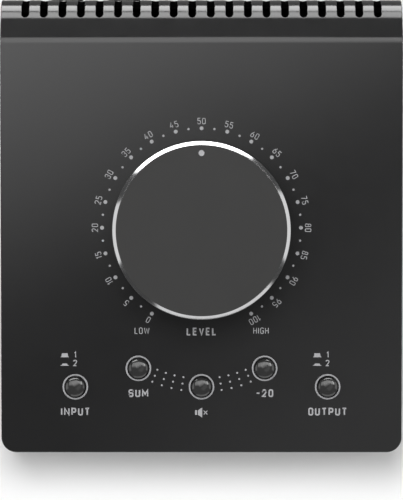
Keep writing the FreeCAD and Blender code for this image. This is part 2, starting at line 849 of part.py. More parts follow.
def make_control_board():
    body = body_named("control_board")
    sketch = sketch_on(body, "XY_Plane", 0, 0, "-board_drop - board_thick")
    rectangle(sketch, "-board_half", "board_front_u", "board_half", "board_rear_u")
    for x, u in STANDOFFS:
        screw_opening(sketch, x, u)
    feature(body, "Pad", sketch, "board_thick")
    seat_on_panel(body, 0, 0, 0)

    posts = []
    for x, u in STANDOFFS:
        post = hexagon("standoff_corner", "board_drop - sheet_thick", x, u, "-board_drop")
        posts.append(cut(post, hexagon("screw_hole", "short_screw_long", x, u, "-board_drop - board_thick")))
    seat_on_panel(node(group(posts), "board_standoffs"), 0, 0, 0)

    spots = [(x, u, "-board_drop - board_thick") for x, u in STANDOFFS]
    seat_on_panel(node(copies(screw("short_screw_long"), spots), "board_screws"), 0, 0, 0)

    chips = []
    for index in range(5):
        for side in ("", "-"):
            spot = (f"{side}(chip_x + {index} * chip_pitch)", "chip_u", "-board_drop")
            chips.append(block("chip_wide", "2 * chip_wide", "chip_tall", *spot))
    seat_on_panel(node(group(chips), "resistors"), 0, 0, 0)


def make_jack_board():
    body = body_named("jack_board")
    sketch = sketch_on(body, "XZ_Plane", 0, 0, "-(jack_board_y + board_thick)")
    rectangle(sketch, "-jack_board_half", "jack_board_low", "jack_board_half", "jack_board_high")
    feature(body, "Pad", sketch, "board_thick")
    seat(body, 0, 0, 0)


def board_pins(x, z):
    """The three solder pins of a socket, standing on the far side of the jack board."""
    place = ("jack_board_y - pin_long / 2", f"{z} + pin_rise - pin_thick / 2")
    return [
        block("pin_wide", "pin_long", "pin_thick", f"{x} + {column} * pin_pitch", *place)
        for column in (-1, 0, 1)
    ]


def make_cable():
    """Flat cable between two headers: back from the control board, then down to the one on the jack board."""
    mouth_wide = "cable_wide + 2 * cable_room"
    mouth_tall = "cable_thick + cable_room"
    header = cut(
        block("header_wide", "header_long", "header_tall", 0, "header_u", "-board_drop"),
        block(mouth_wide, "header_long", mouth_tall, 0, "header_u + 2", f"cable_w - ({mouth_tall}) / 2"),
    )
    seat_on_panel(node(header, "control_header"), "mini_x", 0, 0)
    rear_header = cut(
        block(
            "header_wide",
            "header_tall",
            "rear_header_tall",
            0,
            "jack_board_y - header_tall / 2",
            "cable_end_z - rear_header_sunk",
        ),
        block(mouth_wide, mouth_tall, "rear_header_tall", 0, "cable_down_y", "cable_end_z - cable_room"),
    )
    seat(node(rear_header, "jack_header"), "mini_x", 0, 0)

    cable = body_named("ribbon_cable")
    sketch = sketch_on(cable, "YZ_Plane")
    faces = []
    for half in ("cable_thick / 2", "-cable_thick / 2"):
        bend = f"(cable_bend + {half})"
        faces.append(
            [
                (f"cable_start_y - {half} * slope_sin", f"cable_start_z + {half} * slope_cos"),
                (f"cable_centre_y - {bend} * slope_sin", f"cable_centre_z + {bend} * slope_cos", f"-{bend}"),
                (f"cable_centre_y + {bend}", "cable_centre_z"),
                (f"cable_centre_y + {bend}", "cable_end_z"),
            ]
        )
    outline(sketch, faces[0] + backwards(faces[1]))
    feature(cable, "Pad", sketch, "cable_wide", symmetric=True)
    seat(cable, "mini_x", 0, 0)


# ---- rear sockets ----


def make_output_jack(name, x, z):
    """6.35 mm jack: moulded body behind the panel, threaded bushing through it."""
    mouth = "(sheet_thick + jack_proud)"
    deep = cut(
        fuse(
            block("jack_wide", "jack_deep", "jack_tall", 0, "-jack_deep / 2", "-jack_tall / 2"),
            cylinder("jack_bushing", f"{mouth} + 1", 0, "-1", 0, ALONG_Y),
        ),
        cylinder("jack_bore", "jack_bore_long + 1", 0, f"{mouth} - jack_bore_long", 0, ALONG_Y),
    )
    seat(node(deep, name), x, "panel_in_y", z)


def make_output_hardware():
    """Nuts and solder pins of the four output jacks."""
    outer = "panel_in_y + sheet_thick"
    nuts = []
    pins = []
    for _, x, z in OUTPUTS:
        nuts.append(
            cut(
                hexagon("jack_nut_corner", "jack_nut_thick", x, outer, z, ALONG_Y),
                cylinder("jack_bushing + thread_gap", "jack_proud", x, f"{outer} - 1", z, ALONG_Y),
            )
        )
        pins += board_pins(x, z)
    seat(node(group(nuts), "output_jack_nuts"), 0, 0, 0)
    seat(node(group(pins), "output_jack_pins"), 0, 0, 0)


def make_input_jack(name, x):
    """Combination jack: flanged housing behind the panel, and the insert with its bore and contact holes."""
    flange = ("combo_flange_wide", "combo_flange_thick", "combo_flange_tall")
    bulk = fuse(
        block(*flange, 0, "-combo_flange_thick / 2", "-combo_flange_tall / 2"),
        block("combo_body_wide", "jack_deep", "combo_body_tall", 0, "-jack_deep / 2", "-combo_body_tall / 2"),
        cylinder("combo_barrel", "sheet_thick + 1", 0, "-1", 0, ALONG_Y),
    )
    keyway_y = "sheet_thick - combo_mouth_deep / 2 + 0.5"
    screw_room = ("screw_hole + thread_gap", "jack_deep / 3")
    housing = cut(
        bulk,
        cylinder("combo_mouth", "combo_mouth_deep + 1", 0, "sheet_thick - combo_mouth_deep", 0, ALONG_Y),
        cylinder("insert_radius", "jack_deep + 2", 0, "-jack_deep - 1", 0, ALONG_Y),
        block("keyway_wide", "combo_mouth_deep + 1", "combo_mouth + keyway_deep", 0, keyway_y, 0),
        *[
            hexagon(*screw_room, f"{sign}combo_screw_x", "-jack_deep / 4", f"{sign}combo_screw_z", ALONG_Y)
            for sign in ("", "-")
        ],
    )
    seat(node(housing, f"{name}_housing"), x, "panel_in_y", "combo_z")

    front = "(sheet_thick - insert_sunk)"
    contacts = [
        cylinder(
            "contact_hole",
            "contact_deep + 1",
            f"contact_circle * cos({angle})",
            f"{front} - contact_deep",
            f"contact_circle * sin({angle})",
            ALONG_Y,
        )
        for angle in (30, 150, 270)
    ]
    insert = cut(
        cylinder("insert_radius", f"jack_deep + {front}", 0, "-jack_deep", 0, ALONG_Y),
        cylinder("jack_bore", "combo_bore_long + 1", 0, f"{front} - combo_bore_long", 0, ALONG_Y),
        *contacts,
    )
    seat(node(insert, f"{name}_insert"), x, "panel_in_y", "combo_z")


def make_input_hardware():
    """Two flange screws on opposite corners of each input jack, and its solder pins."""
    spots = []
    pins = []
    for _, x in INPUTS:
        for sign in ("+", "-"):
            corner = (f"{x} {sign} combo_screw_x", f"combo_z {sign} combo_screw_z")
            spots.append((corner[0], "panel_in_y + sheet_thick", corner[1]))
        pins += board_pins(x, "combo_z")
    seat(node(copies(screw("short_screw_long"), spots, INTO_REAR), "input_jack_screws"), 0, 0, 0)
    seat(node(group(pins), "input_jack_pins"), 0, 0, 0)


def make_mini_jack():
    """3.5 mm jack hung on the panel by its nut, with leads back to the board."""
    mouth = "(sheet_thick + mini_proud)"
    jack = cut(
        fuse(
            block("mini_wide", "mini_deep", "mini_tall", 0, "-mini_deep / 2", "-mini_tall / 2"),
            cylinder("mini_bushing", f"{mouth} + 1", 0, "-1", 0, ALONG_Y),
        ),
        cylinder("mini_bore", "mini_bore_long + 1", 0, f"{mouth} - mini_bore_long", 0, ALONG_Y),
    )
    seat(node(jack, "mini_jack"), "mini_x", "panel_in_y", "mini_z")
    nut = cut(
        hexagon("mini_nut_corner", "mini_nut_thick", 0, 0, 0, ALONG_Y),
        cylinder("mini_bushing + thread_gap", "2 * mini_nut_thick", 0, "-mini_nut_thick / 2", 0, ALONG_Y),
    )
    seat(node(nut, "mini_jack_nut"), "mini_x", "panel_in_y + sheet_thick", "mini_z")
    spare = "(jack_deep - mini_deep)"
    middle = f"-mini_deep - {spare} / 2"
    leads = [
        block("pin_wide", spare, "pin_wide", f"{column} * pin_pitch / 2", middle, 0) for column in (-1, 0, 1)
    ]
    seat(node(group(leads), "mini_jack_leads"), "mini_x", "panel_in_y", "mini_z")


# ---- places that several pieces share ----

BUTTONS = [
    ("source", "-2 * button_pitch", "button_u"),
    ("mono", "-button_pitch", "inner_button_u"),
    ("mute", "0", "button_u"),
    ("dim", "button_pitch", "inner_button_u"),
    ("monitor", "2 * button_pitch", "button_u"),
]
PILLARS = [(f"{side}pillar_x", y) for y in ("pillar_front_y", "pillar_rear_y") for side in ("", "-")]
STANDOFFS = [(f"{side}standoff_x", u) for u in ("standoff_front_u", "standoff_rear_u") for side in ("", "-")]
REAR_HEIGHTS = ("rear_screw_low", "rear_screw_high")
REAR_SCREWS = [(f"{side}rear_screw_x", z) for z in REAR_HEIGHTS for side in ("", "-")]
OUTPUTS = [
    ("output_jack_a_left", "jack_left_x", "jack_high_z"),
    ("output_jack_a_right", "jack_right_x", "jack_high_z"),
    ("output_jack_b_left", "jack_left_x", "jack_low_z"),
    ("output_jack_b_right", "jack_right_x", "jack_low_z"),
]
INPUTS = [("input_jack_left", "combo_left_x"), ("input_jack_right", "combo_right_x")]
make_top_plate()
make_base_tray()
make_rear_panel()
make_feet()
make_pillars()
make_case_screws()
make_rear_screws()
make_knob()
make_potentiometer()
for button_name, button_x, button_u in BUTTONS:
    make_button(button_name, button_x, button_u)
make_switch_pins()
make_control_board()
make_jack_board()
make_cable()
for jack_name, jack_x, jack_z in OUTPUTS:
    make_output_jack(jack_name, jack_x, jack_z)
make_output_hardware()
for input_name, input_x in INPUTS:
    make_input_jack(input_name, input_x)
make_input_hardware()
make_mini_jack()
doc.recompute()

# ---- checks and files ----

for obj in doc.Objects:
    assert not {"Invalid", "Error"} & set(obj.State), (obj.Name, obj.Label, obj.State)
for obj in nodes:
    shape = obj.Shape
    assert not shape.isNull() and shape.isValid() and shape.Solids, obj.Label
os.makedirs("parts", exist_ok=True)
for obj in nodes:
    obj.Shape.exportStep(f"parts/{obj.Label}.step")
print(len(nodes), "nodes,", sum(len(obj.Shape.Solids) for obj in nodes), "solids")
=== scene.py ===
import json
import math

import bmesh
import bpy
from mathutils import Matrix, Vector


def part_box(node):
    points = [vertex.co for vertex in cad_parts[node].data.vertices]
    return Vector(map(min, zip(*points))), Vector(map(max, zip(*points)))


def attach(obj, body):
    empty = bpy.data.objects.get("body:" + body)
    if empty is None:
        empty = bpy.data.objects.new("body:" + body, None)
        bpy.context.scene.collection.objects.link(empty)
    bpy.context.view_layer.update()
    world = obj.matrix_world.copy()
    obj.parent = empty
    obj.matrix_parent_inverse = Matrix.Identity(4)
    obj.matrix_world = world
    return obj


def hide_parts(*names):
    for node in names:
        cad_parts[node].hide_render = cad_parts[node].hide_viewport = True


# Desktop monitor controller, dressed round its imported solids. Lengths are millimetres unless a name or a
# comment says otherwise, and MM turns them into Blender's metres, in which the frame's own places are. The
# panel frame lies on the sloping top plate with its origin at the middle of the dial: x to the right, u up the
# slope and w out of the panel.

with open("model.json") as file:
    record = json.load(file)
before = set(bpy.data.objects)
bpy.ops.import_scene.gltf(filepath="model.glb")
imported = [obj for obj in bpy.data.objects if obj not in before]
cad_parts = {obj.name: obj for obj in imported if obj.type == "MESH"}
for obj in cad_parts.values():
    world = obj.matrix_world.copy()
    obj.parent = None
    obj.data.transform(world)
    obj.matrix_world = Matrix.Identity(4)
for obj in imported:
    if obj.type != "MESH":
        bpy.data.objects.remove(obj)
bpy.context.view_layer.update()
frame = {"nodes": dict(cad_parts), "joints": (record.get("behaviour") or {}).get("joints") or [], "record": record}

MM = 0.001
PER_METRE = 1000
VOLUME_JOINT = next(joint for joint in frame["joints"] if joint["name"] == "volume_turn")
DIAL = Vector(VOLUME_JOINT["pos_m"])
OUT = -Vector(VOLUME_JOINT["axis"]).normalized()
RIGHT = Vector((1, 0, 0))
UP = OUT.cross(RIGHT)
PANEL = Matrix.Translation(DIAL) @ Matrix((RIGHT, UP, OUT)).transposed().to_4x4()
TO_REAR = Matrix.Rotation(math.radians(-90), 4, "X")
REAR_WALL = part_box("rear_panel")[1].y

SLOTS = {part["node"]: part["material_slot"] for part in frame["record"]["subparts"]}
BUTTON_NAMES = ("source", "mono", "mute", "dim", "monitor")
OUTPUT_JACKS = ("output_jack_a_left", "output_jack_a_right", "output_jack_b_left", "output_jack_b_right")
INPUT_JACKS = ("input_jack_left", "input_jack_right")


def middle_of(node):
    low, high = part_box(node)
    return (low + high) / 2


def panel_spot(node):
    """Where a node that stands square on the panel has its middle, as x and u."""
    away = middle_of(node) - DIAL
    return away.dot(RIGHT) / MM, away.dot(UP) / MM


BUTTON_SPOTS = {name: panel_spot(f"{name}_button") for name in BUTTON_NAMES}


# ---- materials ----


def add_node(tree, kind, **settings):
    node = tree.nodes.new(f"ShaderNode{kind}")
    for name, setting in settings.items():
        setattr(node, name, setting)
    return node


def noise(tree, place, scale, detail=3.0):
    node = add_node(tree, "TexNoise")
    node.inputs["Scale"].default_value = scale
    node.inputs["Detail"].default_value = detail
    tree.links.new(place, node.inputs["Vector"])
    return node.outputs["Fac"]


NOISE_LOW, NOISE_HIGH = 0.32, 0.68


def spread(tree, value, low, high):
    """Noise, which stays near its middle, spread from low to high."""
    node = add_node(tree, "MapRange")
    settings = {"From Min": NOISE_LOW, "From Max": NOISE_HIGH, "To Min": low, "To Max": high}
    for name, setting in settings.items():
        node.inputs[name].default_value = setting
    tree.links.new(value, node.inputs["Value"])
    return node.outputs["Result"]


def two_tones(tree, value, dark, light):
    node = add_node(tree, "ValToRGB")
    node.color_ramp.elements[0].position = NOISE_LOW
    node.color_ramp.elements[1].position = NOISE_HIGH
    node.color_ramp.elements[0].color = (*dark, 1)
    node.color_ramp.elements[1].color = (*light, 1)
    tree.links.new(value, node.inputs["Fac"])
    return node.outputs["Color"]


def bump(tree, shader, height, depth, under=None):
    node = add_node(tree, "Bump")
    node.inputs["Distance"].default_value = depth * MM
    tree.links.new(height, node.inputs["Height"])
    if under:
        tree.links.new(under, node.inputs["Normal"])
    tree.links.new(node.outputs["Normal"], shader.inputs["Normal"])


def finish_of(name, colour, roughness, vary, patch, grain, depth, sockets=None):
    """A finish with tone and gloss that vary in patches, and a grain. Patch, grain and depth are
    millimetres."""
    material = bpy.data.materials.new(name)
    material.use_nodes = True
    tree = material.node_tree
    shader = tree.nodes["Principled BSDF"]
    place = add_node(tree, "TexCoord").outputs["Object"]
    patches = noise(tree, place, PER_METRE / patch)
    tones = [[channel * (1 + sign * vary) for channel in colour] for sign in (-1, 1)]
    tree.links.new(two_tones(tree, patches, *tones), shader.inputs["Base Color"])
    wear = noise(tree, place, 3 * PER_METRE / patch, 5.0)
    tree.links.new(spread(tree, wear, *roughness), shader.inputs["Roughness"])
    bump(tree, shader, noise(tree, place, PER_METRE / grain, 2.0), depth)
    for socket, setting in (sockets or {}).items():
        shader.inputs[socket].default_value = setting
    return material


WAVE_RADIANS = 20


def turned(material, radian, depth):
    """Concentric tool marks about the local Z axis, on top of a finish. A radian of their wave and their
    depth are millimetres. Blender's own wave turns through WAVE_RADIANS in a metre at scale 1."""
    tree = material.node_tree
    shader = tree.nodes["Principled BSDF"]
    under = shader.inputs["Normal"].links[0].from_socket
    place = add_node(tree, "TexCoord").outputs["Object"]
    marks = add_node(tree, "TexWave", wave_type="RINGS", rings_direction="Z")
    marks.inputs["Scale"].default_value = PER_METRE / radian / WAVE_RADIANS
    marks.inputs["Distortion"].default_value = 0.4
    tree.links.new(place, marks.inputs["Vector"])
    bump(tree, shader, marks.outputs["Fac"], depth, under)


METAL = {"Metallic": 1.0}
SHINE = "Specular IOR Level"

# Colour, roughness from and to, how much the tone varies, the size of its patches, the size and depth of the
# grain, and any other shader socket. The last two belong to no slot of the record: the chassis is painted
# like the case, but duller, and the faces inside the case that the slots show get painted shade, near-black.
FINISHES = {
    "case_paint": ((0.0124, 0.0124, 0.0127), (0.145, 0.165), 0.04, 14, 0.42, 0.0025),
    "knob_metal": ((0.0355, 0.0353, 0.035), (0.46, 0.52), 0.02, 12, 0.3, 0.001, {SHINE: 0.08}),
    "bright_edge": ((0.50, 0.50, 0.505), (0.10, 0.16), 0.02, 5, 0.5, 0.0006, METAL),
    "marking": ((0.31, 0.31, 0.32), (0.45, 0.6), 0.05, 3, 0.2, 0.002),
    "moulding": ((0.0075, 0.0075, 0.0078), (0.42, 0.55), 0.10, 6, 0.3, 0.012, {SHINE: 0.2}),
    "button_plastic": ((0.026, 0.026, 0.026), (0.08, 0.12), 0.06, 4, 0.5, 0.0008, {SHINE: 0.68}),
    "foot_rubber": ((0.016, 0.016, 0.0165), (0.72, 0.88), 0.15, 3, 0.25, 0.02),
    "screw_steel": ((0.075, 0.075, 0.08), (0.28, 0.42), 0.15, 2, 0.3, 0.003, METAL),
    "plated_metal": ((0.62, 0.60, 0.565), (0.20, 0.34), 0.08, 2, 0.4, 0.003, METAL),
    "contact_metal": ((0.74, 0.58, 0.30), (0.22, 0.34), 0.08, 2, 0.3, 0.002, METAL),
    "board_green": ((0.012, 0.085, 0.035), (0.3, 0.42), 0.12, 5, 0.6, 0.004),
    "cable_grey": ((0.25, 0.25, 0.255), (0.45, 0.6), 0.06, 4, 0.5, 0.004),
    "chassis_paint": ((0.0115, 0.0115, 0.0118), (0.30, 0.38), 0.08, 10, 0.3, 0.006),
    # Painted shade: near-black and almost without gloss, for the faces inside the case that the slots show.
    "painted_shade_black": ((0.0012, 0.0012, 0.0012), (0.85, 0.95), 0.1, 10, 0.3, 0.006, {SHINE: 0.02}),
}
MATERIALS = {name: finish_of(name, *settings) for name, settings in FINISHES.items()}
turned(MATERIALS["knob_metal"], 0.24, 0.0012)
turned(MATERIALS["bright_edge"], 0.12, 0.001)
CHASSIS_PAINT = MATERIALS["chassis_paint"]
PAINTED_SHADE_BLACK = MATERIALS["painted_shade_black"]
CHASSIS_NODES = ("base_tray", "rear_panel", "corner_pillars")


# ---- mesh helpers ----


def finished_mesh(bm, name, sharp=32):
    """A mesh in metres from one drawn in millimetres, smooth except at edges sharper than the angle."""
    bmesh.ops.scale(bm, vec=(MM, MM, MM), verts=bm.verts)
    bmesh.ops.recalc_face_normals(bm, faces=bm.faces)
    mesh = bpy.data.meshes.new(name)
    bm.to_mesh(mesh)
    bm.free()
    mesh.shade_smooth()
    mesh.set_sharp_from_angle(angle=math.radians(sharp))
    return mesh


def piece(name, mesh, body, slot, place=PANEL, stands_for=()):
    obj = bpy.data.objects.new(name, mesh)
    bpy.context.scene.collection.objects.link(obj)
    obj.matrix_world = place
    obj.data.materials.append(MATERIALS[slot])
    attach(obj, body)
    if stands_for:
        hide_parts(*stands_for)
    return obj


def soften(corners, steps=5):
    """A line through corners (a, b, cut) with each corner rounded off from cut before it to cut after it."""
    line = []
    for index, (a, b, cut) in enumerate(corners):
        here = Vector((a, b))
        if not cut or index in (0, len(corners) - 1):
            line.append(here)
            continue
        before = here + (Vector(corners[index - 1][:2]) - here).normalized() * cut
        after = here + (Vector(corners[index + 1][:2]) - here).normalized() * cut
        for step in range(steps + 1):
            t = step / steps
            line.append(before * (1 - t) ** 2 + here * (2 * t * (1 - t)) + after * t**2)
    return line


def lathe(bm, profile, steps=96, place=Matrix.Identity(4)):
    """Turn a profile of (radius, height) about the Z axis of place."""
    rings = []
    for radius, height in profile:
        if radius < 1e-6:
            rings.append([bm.verts.new(place @ Vector((0, 0, height)))] * steps)
            continue
        angles = [2 * math.pi * step / steps for step in range(steps)]
        around = [Vector((radius * math.cos(angle), radius * math.sin(angle), height)) for angle in angles]
        rings.append([bm.verts.new(place @ point) for point in around])
    for low, high in zip(rings, rings[1:]):
        for step in range(steps):
            after = (step + 1) % steps
            corners = list(dict.fromkeys([low[step], low[after], high[after], high[step]]))
            if len(corners) > 2:
                bm.faces.new(corners)


def closed_wall(bm, low, high):
    """Faces between two closed loops of as many points."""
    for index in range(len(low)):
        after = (index + 1) % len(low)
        bm.faces.new([low[index], low[after], high[after], high[index]])


def prism(bm, outline, low, high, place=Matrix.Identity(4)):
    """A closed solid on an outline of (x, y), from height low to height high."""
    rings = [[bm.verts.new(place @ Vector((x, y, level))) for x, y in outline] for level in (low, high)]
    closed_wall(bm, *rings)
    for ring in rings:
        bm.faces.new(ring)


def circle_points(radius, steps, x=0.0, y=0.0):
    angles = [2 * math.pi * step / steps for step in range(steps)]
    return [Vector((x + radius * math.cos(a), y + radius * math.sin(a))) for a in angles]


def combined(mesh, tool, operation):
    """One mesh cut by, or kept inside, another."""
    pair = [bpy.data.objects.new(m.name, m) for m in (mesh, tool)]
    for obj in pair:
        bpy.context.scene.collection.objects.link(obj)
    modifier = pair[0].modifiers.new("cut", "BOOLEAN")
    modifier.operation = operation
    modifier.solver = "EXACT"
    modifier.object = pair[1]
    graph = bpy.context.evaluated_depsgraph_get()
    result = bpy.data.meshes.new_from_object(pair[0].evaluated_get(graph))
    for obj in pair:
        bpy.data.objects.remove(obj)
    result.shade_smooth()
    result.set_sharp_from_angle(angle=math.radians(30))
    return result


def repeated(mesh, name, places):
    """One mesh that holds a copy of the given one at each place."""
    bm = bmesh.new()
    for place in places:
        first = len(bm.verts)
        bm.from_mesh(mesh)
        bm.verts.ensure_lookup_table()
        bmesh.ops.transform(bm, matrix=place, verts=bm.verts[first:])
    result = bpy.data.meshes.new(name)
    bm.to_mesh(result)
    bm.free()
    return result


def metres(x, y, z):
    return Vector((x, y, z)) * MM


# ---- top plate: a flat blank with its openings, then folded ----

PLATE_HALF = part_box("top_plate")[1].x / MM
DIAL_U = (DIAL.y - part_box("top_plate")[0].y) / UP.y / MM
SHEET = 1.2
CORNER = 4.5
EDGE_ROUND = 0.22
FLAT_LONG = 122.4
FIRST_BEND, FIRST_RADIUS = math.radians(22), 6.0
FACET_LONG = 5.28
REAR_BEND, REAR_RADIUS = math.radians(100), 9.53
LIP_LONG = 2.8
BEND_STEP = math.radians(2.5)
ARC_STEPS, CORNER_STEPS, ROUND_STEPS = 16, 12, 4
FACET_START = FLAT_LONG + FIRST_RADIUS * FIRST_BEND
REAR_START = FACET_START + FACET_LONG
LIP_START = REAR_START + REAR_RADIUS * (REAR_BEND - FIRST_BEND)
BLANK_LONG = LIP_START + LIP_LONG

SLOT_COUNT, SLOT_PITCH, SLOT_WIDE = 20, 5.55, 2.2
SLOT_FROM = math.radians(26)
SLOT_MIDDLE = (SLOT_FROM + REAR_BEND) / 2
SLOT_HALF = REAR_RADIUS * math.sin((REAR_BEND - SLOT_FROM) / 2)
BUTTON_HOLE = 3.2
BUSHING_HOLE = 4.6

# How the plate's faces are told apart while it is made, and the material slot that each kind ends up with. Slot 2,
# which the underside and the hole walls take, is painted shade: near-black inside the case.
EDGE_ROUNDING, TOP_SKIN, UNDER_SKIN, OUTER_WALL, HOLE_WALL = range(5)
FINISH_OF_FACE = {EDGE_ROUNDING: 0, TOP_SKIN: 0, UNDER_SKIN: 2, OUTER_WALL: 1, HOLE_WALL: 2}


def fold(s, depth):
    """Where a point of the blank ends up, as (u, w) from the front edge, and how far the sheet has turned."""

    def along(start, angle, run):
        return start + Vector((math.cos(angle), -math.sin(angle))) * run

    def round_bend(start, angle, radius, turn):
        centre = start - Vector((math.sin(angle), math.cos(angle))) * radius
        return centre + Vector((math.sin(angle + turn), math.cos(angle + turn))) * radius

    first = Vector((FLAT_LONG, 0))
    facet = round_bend(first, 0, FIRST_RADIUS, FIRST_BEND)
    rear = along(facet, FIRST_BEND, FACET_LONG)
    lip = round_bend(rear, FIRST_BEND, REAR_RADIUS, REAR_BEND - FIRST_BEND)
    if s <= FLAT_LONG:
        spot, angle = Vector((s, 0)), 0.0
    elif s <= FACET_START:
        angle = (s - FLAT_LONG) / FIRST_RADIUS
        spot = round_bend(first, 0, FIRST_RADIUS, angle)
    elif s <= REAR_START:
        angle = FIRST_BEND
        spot = along(facet, angle, s - FACET_START)
    elif s <= LIP_START:
        angle = FIRST_BEND + (s - REAR_START) / REAR_RADIUS
        spot = round_bend(rear, FIRST_BEND, REAR_RADIUS, angle - FIRST_BEND)
    else:
        angle = REAR_BEND
        spot = along(lip, angle, s - LIP_START)
    return spot - Vector((math.sin(angle), math.cos(angle))) * depth, angle


def slot_outline(x):
    """A round-ended slot, straight across the bend as seen square on, laid out on the blank."""
    straight = SLOT_HALF - SLOT_WIDE / 2
    points = []
    for step in range(2 * ARC_STEPS + 1):
        angle = math.pi * step / ARC_STEPS
        end = straight if step <= ARC_STEPS else -straight
        points.append((x + SLOT_WIDE / 2 * math.cos(angle), end + SLOT_WIDE / 2 * math.sin(angle)))
    ahead = SLOT_MIDDLE - FIRST_BEND
    return [Vector((x, REAR_START + REAR_RADIUS * (ahead + math.asin(c / REAR_RADIUS)))) for x, c in points]


def blank_outline():
    rear_corner = 0.8
    corners = [
        (PLATE_HALF - CORNER, CORNER, CORNER, -90),
        (PLATE_HALF - rear_corner, BLANK_LONG - rear_corner, rear_corner, 0),
        (-PLATE_HALF + rear_corner, BLANK_LONG - rear_corner, rear_corner, 90),
        (-PLATE_HALF + CORNER, CORNER, CORNER, 180),
    ]
    points = []
    for x, s, radius, start in corners:
        for step in range(CORNER_STEPS + 1):
            angle = math.radians(start + 90 * step / CORNER_STEPS)
            points.append(Vector((x + radius * math.cos(angle), s + radius * math.sin(angle))))
    return points


def edge_rings(bm, outline, sign):
    """Rings of points down the rounded edge of an outline. The sign is 1 for the blank's own edge and -1 for
    a hole."""
    outline = [p for i, p in enumerate(outline) if (p - outline[i - 1]).length > 1e-4]
    normals = []
    for index in range(len(outline)):
        ahead = outline[(index + 1) % len(outline)] - outline[index - 1]
        normals.append(Vector((ahead.y, -ahead.x)).normalized() * sign)
    angles = [math.pi / 2 * step / ROUND_STEPS for step in range(ROUND_STEPS + 1)]
    levels = [(EDGE_ROUND * (1 - math.sin(a)), EDGE_ROUND * (1 - math.cos(a))) for a in angles] + [(0, SHEET)]
    rings = []
    for inset, depth in levels:
        rings.append([bm.verts.new((*(p - n * inset), -depth)) for p, n in zip(outline, normals)])
    for upper, lower in zip(rings, rings[1:]):
        closed_wall(bm, upper, lower)
    return rings


def fill_skin(bm, loops, ring, up, kind):
    """Close one side of the blank between its edge and its holes."""
    edges = []
    for rings in loops:
        loop = rings[ring]
        edges += [bm.edges.get((loop[i], loop[i - 1])) for i in range(len(loop))]
    filled = bmesh.ops.triangle_fill(bm, edges=edges, normal=(0, 0, up), use_beauty=False)
    for face in filled["geom"]:
        if isinstance(face, bmesh.types.BMFace):
            face.material_index = kind


def make_blank():
    """The flat sheet with its slots and holes, its faces told apart by kind."""
    bm = bmesh.new()
    loops = [edge_rings(bm, blank_outline(), 1)]
    for index in range(SLOT_COUNT):
        loops.append(edge_rings(bm, slot_outline((index - (SLOT_COUNT - 1) / 2) * SLOT_PITCH), -1))
    holes = [(x, u, BUTTON_HOLE) for x, u in BUTTON_SPOTS.values()] + [(0, 0, BUSHING_HOLE)]
    for x, u, radius in holes:
        loops.append(edge_rings(bm, circle_points(radius, 48, x, u + DIAL_U), -1))
    for rings in loops:
        wall = OUTER_WALL if rings is loops[0] else HOLE_WALL
        for first, second in zip(rings[-2], rings[-1]):
            for face in set(first.link_faces) & set(second.link_faces):
                face.material_index = wall
    fill_skin(bm, loops, 0, 1, TOP_SKIN)
    fill_skin(bm, loops, -1, -1, UNDER_SKIN)
    return bm


def bend_cuts():
    """Where the blank needs a line across it, so that it can fold there."""
    cuts = {FLAT_LONG, REAR_START, LIP_START}
    for start, radius, turn in (
        (FLAT_LONG, FIRST_RADIUS, FIRST_BEND),
        (REAR_START, REAR_RADIUS, REAR_BEND - FIRST_BEND),
    ):
        steps = round(turn / BEND_STEP)
        cuts.update(start + radius * turn * step / steps for step in range(1, steps + 1))
    return sorted(cuts)


def make_plate():
    bm = make_blank()
    for s in bend_cuts():
        everything = bm.verts[:] + bm.edges[:] + bm.faces[:]
        bmesh.ops.bisect_plane(bm, geom=everything, plane_co=(0, s, 0), plane_no=(0, 1, 0))
    bmesh.ops.recalc_face_normals(bm, faces=bm.faces)
    turns = []
    for vert in bm.verts:
        (u, w), angle = fold(vert.co.y, -vert.co.z)
        vert.co = Vector((vert.co.x, u - DIAL_U, w)) * MM
        turns.append(angle)
    mesh = bpy.data.meshes.new("top_plate_folded")
    bm.to_mesh(mesh)
    bm.free()
    mesh.shade_smooth()
    mesh.set_sharp_from_angle(angle=math.radians(32))
    normals = [corner.vector.copy() for corner in mesh.corner_normals]
    for face in mesh.polygons:
        if face.material_index in (TOP_SKIN, UNDER_SKIN):
            side = 1 if face.material_index == TOP_SKIN else -1
            for corner in face.loop_indices:
                angle = turns[mesh.loops[corner].vertex_index]
                normals[corner] = Vector((0, math.sin(angle), math.cos(angle))) * side
        face.material_index = FINISH_OF_FACE[face.material_index]
    mesh.normals_split_custom_set(normals)
    piece("top_plate_folded", mesh, "case", "case_paint", stands_for=["top_plate"])
    # Slot 1 is the chassis paint of the outer edge; slot 2 is painted shade for the underside and the hole walls.
    mesh.materials.append(CHASSIS_PAINT)
    mesh.materials.append(PAINTED_SHADE_BLACK)


# ---- knob ----

KNOB_RADIUS = 26.15
KNOB_GAP = 1.2
KNOB_TOP = 19.0
KNOB_WALL = 1.75
RIM_WIDE, RIM_FALL, RIM_DEEP = 1.05, 0.7, 1.8
POINTER_REACH, POINTER_RADIUS = 22.7, 0.9


